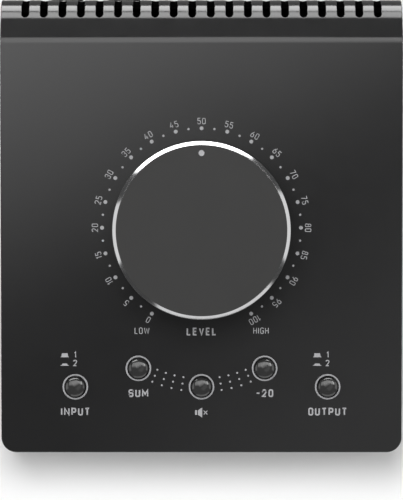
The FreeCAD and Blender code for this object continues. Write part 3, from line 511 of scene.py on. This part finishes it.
def make_knob():
    inner = KNOB_RADIUS - RIM_WIDE
    shoulder = KNOB_TOP - RIM_DEEP
    cap = bmesh.new()
    lathe(
        cap,
        soften(
            [
                (0, KNOB_TOP, 0),
                (inner, KNOB_TOP, 0),
                (inner, shoulder, 0),
                (KNOB_RADIUS, shoulder, 0.05),
                (KNOB_RADIUS, KNOB_GAP, 0.35),
                (KNOB_RADIUS - KNOB_WALL, KNOB_GAP, 0.35),
                (KNOB_RADIUS - KNOB_WALL, shoulder - 1, 0.8),
                (0, shoulder - 1, 0),
            ]
        ),
        192,
    )
    mesh = finished_mesh(cap, "knob_cap_turned")
    well = bmesh.new()
    prism(well, circle_points(POINTER_RADIUS, 40, 0, POINTER_REACH), KNOB_TOP - 0.25, KNOB_TOP + 1)
    mesh = combined(mesh, finished_mesh(well, "pointer_well"), "DIFFERENCE")
    mesh.name = "knob_cap_turned"
    piece("knob_cap_turned", mesh, "knob", "knob_metal", stands_for=["knob_cap"])

    rim = bmesh.new()
    lathe(
        rim,
        soften(
            [
                (inner, shoulder, 0),
                (KNOB_RADIUS, shoulder, 0.05),
                (KNOB_RADIUS, KNOB_TOP - RIM_FALL, 0.10),
                (inner, KNOB_TOP, 0.02),
                (inner, shoulder, 0),
            ]
        ),
        256,
    )
    bmesh.ops.remove_doubles(rim, verts=rim.verts, dist=1e-5)
    mesh = finished_mesh(rim, "knob_rim_cut", 28)
    piece("knob_rim_cut", mesh, "knob", "bright_edge", stands_for=["knob_rim"])

    dot = bmesh.new()
    here = Matrix.Translation((0, POINTER_REACH, KNOB_TOP))
    edge = POINTER_RADIUS - 0.02
    side_view = [(0, -0.12, 0), (edge - 0.15, -0.1, 0.1), (edge, -0.02, 0.05), (edge, -0.24, 0)]
    lathe(dot, soften(side_view), 40, here)
    piece("knob_dot", finished_mesh(dot, "knob_dot"), "knob", "marking", stands_for=["knob_pointer"])


# ---- push buttons ----

CAP_RADIUS = 2.9
CAP_PROUD = 2.9
CAP_BOTTOM = -4.6
CAP_EDGE = 0.2
DOME_FALL, DOME_EXTRA_FALL = 0.66, 0.09
DOME_STEPS = 20
FLANGE_HALF, FLANGE_TOP, FLANGE_THICK = 3.4, -1.5, 0.9


def make_button(name):
    """A domed cap that falls away a little faster towards its rounded edge."""
    bm = bmesh.new()
    dome_half = CAP_RADIUS - CAP_EDGE
    reaches = [step / DOME_STEPS for step in range(DOME_STEPS + 1)]
    dome = [(dome_half * t, CAP_PROUD - DOME_FALL * t**2 - DOME_EXTRA_FALL * t**6) for t in reaches]
    edge_slope = (2 * DOME_FALL + 6 * DOME_EXTRA_FALL) / dome_half
    shoulder = dome[-1][1] - CAP_EDGE * edge_slope
    edge = soften([(*dome[-1], 0), (CAP_RADIUS, shoulder, CAP_EDGE), (CAP_RADIUS, CAP_BOTTOM, 0)], 8)
    lathe(bm, dome + [tuple(p) for p in edge[1:]] + [(0, CAP_BOTTOM)], 64)
    half = FLANGE_HALF
    square = [(-half, -half), (half, -half), (half, half), (-half, half)]
    prism(bm, square, FLANGE_TOP - FLANGE_THICK, FLANGE_TOP)
    x, u = BUTTON_SPOTS[name]
    place = PANEL @ Matrix.Translation(metres(x, u, 0))
    mesh = finished_mesh(bm, f"{name}_cap", 40)
    piece(f"{name}_cap", mesh, f"{name}_button_body", "button_plastic", place, [f"{name}_button"])


# ---- print on the panel ----

INK, INK_ROOT = 0.03, 0.005
DOT_CIRCLE = 29.71
NUMBER_CIRCLE = 31.85
DIAL_SWEEP = 300
DIAL_STEPS, NUMBER_STEP = 20, 5
SMALL_DOT, LARGE_DOT = 0.34, 0.58
RING_OUTER, RING_INNER = 3.82, 3.36
LINK_MIDDLE, LINK_CIRCLES = -10.98, (34.25, 36.2, 38.15)
LINK_STEP, LINK_STEPS, LINK_DOT = 4.545, (2, 3, 4, 5), 0.29
LABEL_DROP = 7.47
DIAL_WORD_U, END_WORD_X, END_WORD_U = -31.1, 17.8, -30.85
TEXT_TALL = 2.35
TEXT_WEIGHT = 0.19
SMALL_TEXT_TALL = 1.9
SMALL_TEXT_WEIGHT = 0.115

# Letters as strokes on a grid six tall, a rounded corner marked by ~ and a closed loop by z.
GLYPH_ROWS = 6
GLYPH_STEP = 0.108
GLYPH_ROUND = 0.17
GLYPH_GAP = 0.21
GLYPHS = {
    "0": ["0,0~ 4,0~ 4,6~ 0,6~ z"],
    "1": ["0,4.7 1.6,6 1.6,0"],
    "2": ["0,4.8 0,6~ 4,6~ 4,3.6~ 0,0 4,0"],
    "3": ["0,5 0,6~ 4,6~ 4,3.1~ 1.4,3.1", "2.6,3.1 4,3.1~ 4,0~ 0,0~ 0,1"],
    "4": ["2.4,6 0,1.6 4.4,1.6", "3.2,3.4 3.2,0"],
    "5": ["3.8,6 0.2,6 0.2,3.5 4,3.5~ 4,0~ 0,0~ 0,1"],
    "6": ["2.8,6 0,2.7 0,0~ 4,0~ 4,3.4~ 0.6,3.4"],
    "7": ["0,6 4,6 1.5,0"],
    "8": ["0,0~ 4,0~ 4,3.1~ 0,3.1~ z", "0.2,3.1~ 3.8,3.1~ 3.8,6~ 0.2,6~ z"],
    "9": ["1.2,0 4,3.3 4,6~ 0,6~ 0,2.6~ 3.4,2.6"],
    "-": ["0,3 3.4,3"],
    "E": ["3.6,6 0,6 0,0 3.6,0", "0,3.1 3.2,3.1"],
    "G": ["4,4.8 4,6~ 0,6~ 0,0~ 4,0~ 4,2.9 2.3,2.9"],
    "H": ["0,6 0,0", "4.2,6 4.2,0", "0,3.1 4.2,3.1"],
    "I": ["0,6 0,0"],
    "L": ["0,6 0,0 3.5,0"],
    "M": ["0,0 0,6 2.9,1.9 5.8,6 5.8,0"],
    "N": ["0,0 0,6 4.9,0 4.9,6"],
    "O": ["0,0~ 4.2,0~ 4.2,6~ 0,6~ z"],
    "P": ["0,0 0,6 4.1,6~ 4.1,2.6~ 0,2.6"],
    "S": ["4.2,5 4.2,6~ 0,6~ 0,3.1~ 4.2,3.1~ 4.2,0~ 0,0~ 0,1"],
    "T": ["0,6 4.4,6", "2.2,6 2.2,0"],
    "U": ["0,6 0,0~ 4.2,0~ 4.2,6"],
    "V": ["0,6 2.2,0 4.4,6"],
    "W": ["0,6 1.7,0 3.5,5 5.3,0 7,6"],
}


def ink_prism(bm, outline):
    prism(bm, outline, -INK_ROOT, INK)


def turned_point(radius, degrees):
    """A point on the dial, in degrees clockwise from straight up."""
    angle = math.radians(degrees)
    return radius * math.sin(angle), radius * math.cos(angle)


def stroke(bm, line, thick, place, closed):
    """A line drawn in ink with square ends, or a closed loop of one."""
    count = len(line)
    loops = ([], [], [], [])
    for index, point in enumerate(line):
        joined = []
        if closed or index:
            joined.append((point - line[index - 1]).normalized())
        if closed or index < count - 1:
            joined.append((line[(index + 1) % count] - point).normalized())
        heading = sum(joined, Vector((0, 0))).normalized()
        reach = thick / 2 / max(heading.dot(joined[0]), 0.5)
        across = Vector((-heading.y, heading.x)) * reach
        corners = ((1, -INK_ROOT), (1, INK), (-1, INK), (-1, -INK_ROOT))
        for loop, (side, level) in zip(loops, corners):
            loop.append(bm.verts.new(place @ Vector((*(point + across * side), level))))
    for first, second in zip(loops, loops[1:] + loops[:1]):
        for index in range(count if closed else count - 1):
            after = (index + 1) % count
            bm.faces.new([first[index], first[after], second[after], second[index]])
    if not closed:
        for end in (0, -1):
            bm.faces.new([loop[end] for loop in loops])


def glyph_lines(letter, tall, weight):
    """The strokes of a letter in millimetres: points, and whether they close into a loop."""
    grow = Vector((GLYPH_STEP * tall, (1 - weight) * tall / GLYPH_ROWS))
    for text in GLYPHS[letter]:
        tokens = text.split()
        closed = tokens[-1] == "z"
        corners = []
        for token in tokens[: -1 if closed else None]:
            a, b = (float(number) for number in token.rstrip("~").split(","))
            corners.append((a * grow.x, b * grow.y, GLYPH_ROUND * tall if token.endswith("~") else 0))
        if closed:
            corners = [corners[-1], *corners, corners[0]]
            yield soften(corners, 3)[1:-1], True
        else:
            yield soften(corners, 3), False


def write(bm, words, tall, x, u, degrees=0, weight=TEXT_WEIGHT):
    """Words with their middle at x, u, turned clockwise."""
    drawn = []
    pen = 0.0
    right = 0.0
    for letter in words:
        lines = list(glyph_lines(letter, tall, weight))
        for line, closed in lines:
            drawn.append(([point + Vector((pen, 0)) for point in line], closed))
        right = pen + max(point.x for line, _ in lines for point in line)
        pen = right + (weight + GLYPH_GAP) * tall
    middle = Vector((right / 2, (1 - weight) * tall / 2))
    place = Matrix.Translation((x, u, 0)) @ Matrix.Rotation(math.radians(-degrees), 4, "Z")
    for line, closed in drawn:
        stroke(bm, [point - middle for point in line], weight * tall, place, closed)


def ink_piece(name, bm):
    piece(name, finished_mesh(bm, name), "case", "marking")


def make_dial_print():
    dots = bmesh.new()
    numbers = bmesh.new()
    for step in range(2 * DIAL_STEPS + 1):
        degrees = DIAL_SWEEP * (step / (2 * DIAL_STEPS) - 0.5)
        radius = SMALL_DOT if step % 2 else LARGE_DOT
        ink_prism(dots, circle_points(radius, 24, *turned_point(DOT_CIRCLE, degrees)))
        if step % 2 == 0:
            spot = turned_point(NUMBER_CIRCLE, degrees)
            write(numbers, str(step // 2 * NUMBER_STEP), SMALL_TEXT_TALL, *spot, degrees, SMALL_TEXT_WEIGHT)
    ink_piece("dial_dots", dots)
    ink_piece("dial_numbers", numbers)


def circle_loops(bm, radius, x, u):
    """A circle at the root of the ink and one at its top."""
    points = circle_points(radius, 72, x, u)
    return [[bm.verts.new((*point, level)) for point in points] for level in (-INK_ROOT, INK)]


def make_button_print():
    rings = bmesh.new()
    for x, u in BUTTON_SPOTS.values():
        outer = circle_loops(rings, RING_OUTER, x, u)
        inner = circle_loops(rings, RING_INNER, x, u)
        closed_wall(rings, *outer)
        closed_wall(rings, *inner)
        for around, within in zip(outer, inner):
            closed_wall(rings, around, within)
    ink_piece("button_rings", rings)

    dots = bmesh.new()
    for radius in LINK_CIRCLES:
        for step in LINK_STEPS:
            for side in (-1, 1):
                x, u = turned_point(radius, 180 + side * step * LINK_STEP)
                ink_prism(dots, circle_points(LINK_DOT, 20, x, u + LINK_MIDDLE))
    ink_piece("link_dots", dots)


# The numbers above the two outer buttons, with how far up each stands.
STATE_NUMBERS = (("1", 9.66), ("2", 7.15))
STATE_X, STATE_WEIGHT = -0.05, 0.15


def make_words():
    words = bmesh.new()
    for name, text in (("source", "INPUT"), ("mono", "SUM"), ("dim", "-20"), ("monitor", "OUTPUT")):
        x, u = BUTTON_SPOTS[name]
        write(words, text, TEXT_TALL, x, u - LABEL_DROP)
    write(words, "LEVEL", TEXT_TALL, 0, DIAL_WORD_U)
    for text, side in (("LOW", -1), ("HIGH", 1)):
        write(words, text, SMALL_TEXT_TALL, side * END_WORD_X, END_WORD_U, weight=SMALL_TEXT_WEIGHT)
    for name in ("source", "monitor"):
        x, u = BUTTON_SPOTS[name]
        for text, above in STATE_NUMBERS:
            write(words, text, SMALL_TEXT_TALL, x + STATE_X, u + above, weight=STATE_WEIGHT)
    ink_piece("button_words", words)


# A button seen from the side, standing out and pushed in: how far up the sign stands, its height and half the
# width of its top. Both have the same base.
SIGN_X = -3.15
SIGNS = ((8.88, 1.2, 0.85), (6.32, 0.68, 0.7))
BASE_HALF, BASE_TALL, SHOULDER_WIDE, SHOULDER_TALL = 1.25, 0.14, 0.16, 0.24
SPEAKER_DROP = 7.76
SPEAKER_BOX = ((-1.95, -0.72), (-1.33, -0.72), (-1.33, 0.72), (-1.95, 0.72))
SPEAKER_CONE = ((-1.06, -0.7), (0.23, -1.5), (0.23, 1.5), (-1.06, 0.7))
CROSS_X, CROSS_REACH, CROSS_HALF = 1.2, 0.78, 0.13


def make_pictograms():
    """The two states of a push button beside their numbers, and a crossed-out loudspeaker."""
    signs = bmesh.new()
    for name in ("source", "monitor"):
        x, u = BUTTON_SPOTS[name]
        for base, tall, top_half in SIGNS:
            shoulder = (top_half + SHOULDER_WIDE, SHOULDER_TALL)
            right = [(BASE_HALF, 0), (BASE_HALF, BASE_TALL), shoulder, (top_half, tall)]
            shape = right + [(-a, b) for a, b in reversed(right)]
            ink_prism(signs, [(x + SIGN_X + a, u + base + b) for a, b in shape])
    x, u = BUTTON_SPOTS["mute"]
    u -= SPEAKER_DROP
    for outline in (SPEAKER_BOX, SPEAKER_CONE):
        ink_prism(signs, [(x + a, u + b) for a, b in outline])
    bar = [(a * CROSS_REACH, b * CROSS_HALF) for a, b in ((-1, -1), (1, -1), (1, 1), (-1, 1))]
    for lean in (-45, 45):
        here = Matrix.Translation((x + CROSS_X, u, 0)) @ Matrix.Rotation(math.radians(lean), 4, "Z")
        prism(signs, bar, -INK_ROOT, INK, here)
    ink_piece("pictograms", signs)


# ---- screws, nuts and socket details ----

HEAD_RADIUS, HEAD_TALL, RECESS_DEEP = 2.8, 1.9, 1.1
SCREW_OFFSET_X, SCREW_OFFSET_Z = 10.6, 11.2


def hardware(name, mesh, places, slot, stands_for=()):
    """Copies of a mesh on the case, one at each place."""
    piece(name, repeated(mesh, name, places), "case", slot, Matrix.Identity(4), stands_for)


def rear_spot(node, x=0, z=0):
    """A frame on the rear wall with its Z out of it, level with a node's middle or millimetres beside it."""
    middle = middle_of(node) + metres(x, 0, z)
    return Matrix.Translation((middle.x, REAR_WALL, middle.z)) @ TO_REAR


def cross_head():
    """A pan head on the XY plane with a tapered cross recess."""
    side_view = [
        (0, HEAD_TALL, 0),
        (HEAD_RADIUS - 0.4, HEAD_TALL - 0.1, 0.9),
        (HEAD_RADIUS, 0.4, 0.3),
        (HEAD_RADIUS, 0, 0),
        (0, 0, 0),
    ]
    head = bmesh.new()
    lathe(head, soften(side_view), 48)
    recess = bmesh.new()
    rings = []
    # The recess at its bottom and above the head: level, reach of an arm and half its width.
    for level, reach, half in ((HEAD_TALL - RECESS_DEEP, 0.6, 0.17), (HEAD_TALL + 0.3, 1.5, 0.3)):
        arm = [Vector((reach, -half, level)), Vector((reach, half, level)), Vector((half, half, level))]
        quarters = [Matrix.Rotation(math.radians(90 * turn), 3, "Z") for turn in range(4)]
        rings.append([recess.verts.new(quarter @ corner) for quarter in quarters for corner in arm])
    closed_wall(recess, *rings)
    for ring in rings:
        recess.faces.new(ring)
    return combined(finished_mesh(head, "head"), finished_mesh(recess, "recess"), "DIFFERENCE")


def screw_grid(node, axis):
    """Where a node's four screws stand, from its box: x, and the place along another axis."""
    low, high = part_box(node)
    inset = HEAD_RADIUS * MM
    others = (low[axis] + inset, high[axis] - inset)
    return [(x, other) for x in (low.x + inset, high.x - inset) for other in others]


def make_screws():
    head = cross_head()
    facing_down = Matrix.Rotation(math.pi, 4, "X")
    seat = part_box("case_screws")[0].z + HEAD_TALL * MM
    places = [Matrix.Translation((x, y, seat)) @ facing_down for x, y in screw_grid("case_screws", 1)]
    hardware("case_screw_heads", head, places, "screw_steel", ["case_screws"])

    places = [Matrix.Translation((x, REAR_WALL, z)) @ TO_REAR for x, z in screw_grid("rear_screws", 2)]
    hardware("rear_screw_heads", head, places, "screw_steel", ["rear_screws"])

    places = []
    for name in INPUT_JACKS:
        for side in (-1, 1):
            places.append(rear_spot(f"{name}_housing", side * SCREW_OFFSET_X, side * SCREW_OFFSET_Z))
    hardware("input_screw_heads", head, places, "screw_steel", ["input_jack_screws"])


def hex_nut(corner, thick, hole):
    """A nut on the XY plane with its outer corners chamfered."""
    body = bmesh.new()
    prism(body, circle_points(corner, 6), 0, thick)
    envelope = bmesh.new()
    fall = corner * (1 - math.cos(math.pi / 6)) * 0.6
    wide = corner + 0.1
    lathe(envelope, [(0, -0.01), (wide, -0.01), (wide, thick - fall), (corner * 0.86, thick), (0, thick)], 72)
    shaped = combined(finished_mesh(body, "nut_body"), finished_mesh(envelope, "nut_envelope"), "INTERSECT")
    opening = bmesh.new()
    above = thick + 0.3
    lathe(opening, [(0, -1), (hole, -1), (hole, thick - 0.3), (hole + 0.6, above), (0, above)], 48)
    return combined(shaped, finished_mesh(opening, "nut_opening"), "DIFFERENCE")


def thread_sleeve(radius, low, high, pitch=0.5, tall=0.14):
    """Turns of thread between two heights, as rings."""
    bm = bmesh.new()
    profile = [(radius - 0.02, low)]
    level = low
    while level + pitch <= high + 1e-6:
        profile += [(radius, level), (radius + tall, level + pitch / 2)]
        level += pitch
    profile += [(radius, level), (radius - 0.02, level)]
    lathe(bm, profile, 48)
    return finished_mesh(bm, "thread", 20)


OUTPUT_NUT_CORNER, OUTPUT_NUT_THICK, OUTPUT_BUSHING, OUTPUT_THREAD_TOP = 7.3, 2.2, 4.7, 4.2
MINI_NUT_CORNER, MINI_NUT_THICK, MINI_BUSHING, MINI_THREAD_TOP = 4.2, 1.8, 3.0, 2.7
NUT_PLAY, THREAD_RUNOUT = 0.05, 0.1


def make_jack_hardware():
    places = [rear_spot(name) for name in OUTPUT_JACKS]
    nut = hex_nut(OUTPUT_NUT_CORNER, OUTPUT_NUT_THICK, OUTPUT_BUSHING + NUT_PLAY)
    hardware("output_nuts_cut", nut, places, "plated_metal", ["output_jack_nuts"])
    thread = thread_sleeve(OUTPUT_BUSHING, OUTPUT_NUT_THICK + THREAD_RUNOUT, OUTPUT_THREAD_TOP)
    hardware("output_threads", thread, places, "moulding")

    places = [rear_spot("mini_jack")]
    nut = hex_nut(MINI_NUT_CORNER, MINI_NUT_THICK, MINI_BUSHING + NUT_PLAY)
    hardware("mini_nut_cut", nut, places, "plated_metal", ["mini_jack_nut"])
    thread = thread_sleeve(MINI_BUSHING, MINI_NUT_THICK + THREAD_RUNOUT, MINI_THREAD_TOP, 0.35, 0.1)
    hardware("mini_thread", thread, places, "moulding")


CONTACT_CIRCLE, CONTACT_RADIUS = 5.7, 1.3
KEYWAY_WIDE = 3.2
MOUTH_RADIUS = 9.6


def make_input_details():
    """Contact tubes inside the inserts' three holes, and the latch in the keyway of each mouth."""
    tube = bmesh.new()
    bore, outside = CONTACT_RADIUS - 0.45, CONTACT_RADIUS - 0.05
    lathe(tube, [(bore, -6), (bore, -0.9), (outside, -0.7), (outside, -6)], 28)
    tube = finished_mesh(tube, "contact_tube")
    latch = bmesh.new()
    half = KEYWAY_WIDE / 2 - 0.15
    side_view = [(-9, 0), (-0.3, 0), (0.6, -0.55), (0.6, -0.95), (-0.6, -1.0), (-9, -0.5)]
    rings = [[latch.verts.new((x, b, a)) for a, b in side_view] for x in (-half, half)]
    closed_wall(latch, *rings)
    for ring in rings:
        latch.faces.new(ring)
    latch = finished_mesh(latch, "latch")
    contact_places = []
    latch_places = []
    for name in INPUT_JACKS:
        low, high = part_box(f"{name}_insert")
        middle = (low + high) / 2
        front = Matrix.Translation((middle.x, high.y, middle.z)) @ TO_REAR
        for degrees in (30, 150, 270):
            angle = math.radians(degrees)
            away = metres(CONTACT_CIRCLE * math.cos(angle), -CONTACT_CIRCLE * math.sin(angle), 0)
            contact_places.append(front @ Matrix.Translation(away))
        latch_places.append(front @ Matrix.Translation(metres(0, -MOUTH_RADIUS - 0.1, 0)))
    hardware("input_contacts", tube, contact_places, "contact_metal")
    hardware("input_latches", latch, latch_places, "plated_metal")


# ---- finish of the imported nodes, and painted shade behind the slots ----

# Nodes whose faces behind the slots get painted shade.
BEHIND_SLOTS = CHASSIS_NODES[:2] + OUTPUT_JACKS + tuple(f"{name}_housing" for name in INPUT_JACKS)


def gets_painted_shade(name, face, middle):
    """Whether a face behind the slots gets painted shade: one that only the slots let the light to."""
    across = Vector((face.center.x - middle.x, face.center.z - middle.z))
    if name not in CHASSIS_NODES:
        return face.center.y < REAR_WALL and across.dot((face.normal.x, face.normal.z)) > 0
    outward = face.normal.x * face.center.x + face.normal.y * face.center.y
    return face.normal.z > 0.3 or (face.normal.z > -0.7 and outward <= 0)


def paint_shade_behind_slots(name):
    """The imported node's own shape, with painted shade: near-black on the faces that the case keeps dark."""
    mesh = frame["nodes"][name].data.copy()
    mesh.name = f"{name}_dressed"
    mesh.materials.clear()
    dressed = piece(mesh.name, mesh, "case", SLOTS[name], Matrix.Identity(4), [name])
    if name in CHASSIS_NODES:
        dressed.material_slots[0].material = CHASSIS_PAINT
    # The second slot is painted shade, near-black.
    mesh.materials.append(PAINTED_SHADE_BLACK)
    middle = middle_of(name)
    for face in mesh.polygons:
        face.material_index = int(gets_painted_shade(name, face, middle))
    ease_edges(name, dressed)


def dress_node(name, obj):
    material = CHASSIS_PAINT if name in CHASSIS_NODES else MATERIALS[SLOTS[name]]
    for slot in obj.material_slots:
        slot.material = material
    if not obj.material_slots:
        obj.data.materials.append(material)
    ease_edges(name, obj)


def ease_edges(name, obj):
    weld = obj.modifiers.new("weld", "WELD")
    weld.merge_threshold = 0.002 * MM
    if name in ("base_tray", "rear_panel") or name.endswith(("_housing", "_insert")):
        edge = obj.modifiers.new("edge", "BEVEL")
        edge.width = 0.15 * MM
        edge.segments = 2
        edge.limit_method = "ANGLE"
        edge.angle_limit = math.radians(50)


# ---- stage, lights and camera ----

# The camera's distance, the floor, the lamps and the boards are in metres.
PHOTO_TALL = 500
CAMERA_AWAY = 0.900
CAMERA_ELEVATION = math.radians(83)
MM_PER_PIXEL = 0.2989
AIM_U = -6.66
SENSOR = 36.0
STUDIO = Vector((0, 0, 0.045))


def make_camera():
    data = bpy.data.cameras.new("camera")
    camera = bpy.data.objects.new("camera", data)
    bpy.context.scene.collection.objects.link(camera)
    aim = PANEL @ metres(0, AIM_U, 0)
    back = Vector((0, -math.cos(CAMERA_ELEVATION), math.sin(CAMERA_ELEVATION)))
    camera.location = aim + back * CAMERA_AWAY
    camera.rotation_euler = (math.pi / 2 - CAMERA_ELEVATION, 0, 0)
    data.sensor_width = SENSOR
    data.lens = SENSOR * CAMERA_AWAY / (PHOTO_TALL * MM_PER_PIXEL * MM)
    data.clip_end = 20
    bpy.context.scene.camera = camera


def looking(place, target):
    """A frame at place with its -Z axis towards the target."""
    return Matrix.Translation(place) @ (target - place).to_track_quat("-Z", "Y").to_matrix().to_4x4()


def softbox(name, place, target, wide, tall, radiance):
    """A soft lamp that lights surfaces without showing in reflections, which the cards fill."""
    data = bpy.data.lights.new(name, "AREA")
    data.shape = "RECTANGLE"
    data.size = wide
    data.size_y = tall
    data.energy = radiance * math.pi * wide * tall
    obj = bpy.data.objects.new(name, data)
    bpy.context.scene.collection.objects.link(obj)
    obj.matrix_world = looking(Vector(place), Vector(target))
    obj.visible_camera = False
    obj.visible_glossy = False


def flat_object(name, corners, place=Matrix.Identity(4)):
    """A single face as an object."""
    mesh = bpy.data.meshes.new(name)
    mesh.from_pydata(corners, [], [tuple(range(len(corners)))])
    obj = bpy.data.objects.new(name, mesh)
    bpy.context.scene.collection.objects.link(obj)
    obj.matrix_world = place
    return obj


def glowing_board(name, corners, place, radiance, ramp, axis):
    """A flat board that only reflections see. It fades in along the ramp: from one place to another on its
    own Y axis, or from one distance to another on both sides of its middle along X."""
    obj = flat_object(name, corners, place)
    material = bpy.data.materials.new(name)
    material.use_nodes = True
    tree = material.node_tree
    tree.nodes.remove(tree.nodes["Principled BSDF"])
    split = add_node(tree, "SeparateXYZ")
    tree.links.new(add_node(tree, "TexCoord").outputs["Object"], split.inputs["Vector"])
    along = split.outputs[axis]
    if axis == "X":
        size = add_node(tree, "Math", operation="ABSOLUTE")
        tree.links.new(along, size.inputs[0])
        along = size.outputs["Value"]
    fade = add_node(tree, "MapRange")
    for socket, setting in (("From Min", ramp[0]), ("From Max", ramp[1]), ("To Max", radiance)):
        fade.inputs[socket].default_value = setting
    tree.links.new(along, fade.inputs["Value"])
    glow = add_node(tree, "Emission")
    tree.links.new(fade.outputs["Result"], glow.inputs["Strength"])
    tree.links.new(glow.outputs["Emission"], tree.nodes["Material Output"].inputs["Surface"])
    obj.data.materials.append(material)
    for ray in ("camera", "diffuse", "transmission", "shadow", "volume_scatter"):
        setattr(obj, f"visible_{ray}", False)


def ceiling_board(name, sideways, along, turn, radiance, ramp, lift):
    """A level board overhead, its size given along its own axes and its turn in degrees about the vertical.
    Where two overlap, the one with more lift is hidden behind the other."""
    levels = (along[0], along[0], along[1], along[1])
    corners = [(x, y, 0) for x, y in zip((*sideways, *sideways[::-1]), levels)]
    place = Matrix.Translation((0, 0, CEILING + lift)) @ Matrix.Rotation(math.radians(turn), 4, "Z")
    glowing_board(name, corners, place, radiance, ramp, "Y")


CARD_FADE = 0.12


def card(name, seen_from, azimuth, low, high, away, radiance):
    """A standing board. Angles are degrees as seen from a place on the object: azimuth, clockwise from the
    rear, runs from its left edge to its right edge, and low to high is its height. Each side fades out over
    CARD_FADE of its half width."""
    middle = sum(azimuth) / 2
    bottom, top = (math.tan(math.radians(angle)) * away for angle in (low, high))
    side = math.tan(math.radians(azimuth[1] - middle)) * away
    corners = [(-side, away, bottom), (side, away, bottom), (side, away, top), (-side, away, top)]
    place = Matrix.Translation(seen_from) @ Matrix.Rotation(math.radians(-middle), 4, "Z")
    glowing_board(name, corners, place, radiance, (side, side * (1 - CARD_FADE)), "X")


FLOOR_REACH = 4.0
# The colour sockets of a Mix node, by their place in its lists.
COLOUR_A, COLOUR_B, COLOUR_OUT = 6, 7, 2


def make_floor():
    """Pale, and dimmer where it is reflected."""
    corners = [(x * FLOOR_REACH, y * FLOOR_REACH, 0) for x, y in ((-1, -1), (1, -1), (1, 1), (-1, 1))]
    floor = flat_object("floor", corners)
    pale = finish_of("floor", (0.88, 0.88, 0.88), (0.6, 0.7), 0.005, 200, 2, 0.01, {SHINE: 0.0})
    tree = pale.node_tree
    shader = tree.nodes["Principled BSDF"]
    tone = shader.inputs["Base Color"].links[0].from_socket
    dim = add_node(tree, "Mix", data_type="RGBA", blend_type="MULTIPLY")
    dim.inputs[COLOUR_B].default_value = (0.4, 0.4, 0.4, 1)
    tree.links.new(tone, dim.inputs[COLOUR_A])
    tree.links.new(add_node(tree, "LightPath").outputs["Is Glossy Ray"], dim.inputs["Factor"])
    tree.links.new(dim.outputs[COLOUR_OUT], shader.inputs["Base Color"])
    floor.data.materials.append(pale)


def make_world():
    """Dim all round, with a pale backdrop for the camera alone."""
    world = bpy.data.worlds.new("studio")
    bpy.context.scene.world = world
    world.use_nodes = True
    tree = world.node_tree
    lit = tree.nodes["Background"]
    lit.inputs["Color"].default_value = (0.10, 0.10, 0.10, 1)
    backdrop = add_node(tree, "Background")
    backdrop.inputs["Color"].default_value = (0.95, 0.95, 0.95, 1)
    choice = add_node(tree, "MixShader")
    tree.links.new(add_node(tree, "LightPath").outputs["Is Camera Ray"], choice.inputs["Fac"])
    tree.links.new(lit.outputs["Background"], choice.inputs[1])
    tree.links.new(backdrop.outputs["Background"], choice.inputs[2])
    tree.links.new(choice.outputs["Shader"], tree.nodes["World Output"].inputs["Surface"])


CEILING = 0.55
REAR_EDGE = Vector((0, 0.062, 0.056))
KNOB_MIDDLE = Vector((0, 0, 0.063))

# Name, place, what it points at, width, height, radiance.
LAMPS = (
    ("overhead", (-0.05, 0.075, 0.62), (-0.02, 0, 0.0), 0.34, 0.28, 9.2),
    ("left", (-0.75, -0.12, 0.55), STUDIO, 0.5, 0.5, 2.2),
    ("right", (0.75, -0.10, 0.50), STUDIO, 0.5, 0.5, 2.2),
    ("front", (0.0, -0.80, 0.55), STUDIO, 0.6, 0.4, 4.5),
)
# Name, from and to sideways, from and to along, turn, radiance, ramp, lift.
CEILING_BOARDS = (
    ("overhead_card", (-0.17, 0.17), (-0.115, 0.28), 24, 3.05, (-0.115, 0.07), 0),
    ("overhead_left_card", (-0.52, -0.05), (-0.11, 0.28), 0, 2.5, (-0.11, 0.03), 0.002),
    ("overhead_right_card", (-0.02, 0.60), (-0.03, 0.28), 0, 3.6, (-0.03, 0.06), 0.002),
    ("side_glow", (-0.20, 0.20), (0.08, 0.40), -135, 0.45, (0.08, 0.20), 0),
)
# Name, where it is seen from, azimuth from and to, lowest and highest angle, distance, radiance.
CARDS = (
    ("rear_high_card", REAR_EDGE, (-60, 44), 22.3, 47.5, 0.36, 7.3),
    ("rear_low_card", REAR_EDGE, (-42, 42), -13.5, 15.3, 0.16, 9.3),
    ("rear_right_card", REAR_EDGE, (64, 96), 40, 50, 0.36, 7.0),
    ("right_card", KNOB_MIDDLE, (69, 117), 4, 34, 0.40, 1.24),
    ("front_card", KNOB_MIDDLE, (130, 210), 3, 18, 0.42, 1.2),
    ("left_card", KNOB_MIDDLE, (241, 283), 4, 34, 0.40, 1.24),
)


def make_lights():
    for lamp in LAMPS:
        softbox(*lamp)
    for board in CEILING_BOARDS:
        ceiling_board(*board)
    for upright in CARDS:
        card(*upright)


make_plate()
make_knob()
for button_name in BUTTON_NAMES:
    make_button(button_name)
make_dial_print()
make_button_print()
make_words()
make_pictograms()
make_screws()
make_jack_hardware()
make_input_details()
for node_name, node_obj in frame["nodes"].items():
    dress_node(node_name, node_obj)
for node_name in BEHIND_SLOTS:
    paint_shade_behind_slots(node_name)
make_floor()
make_world()
make_lights()
make_camera()
bpy.context.scene.view_settings.view_transform = "Standard"
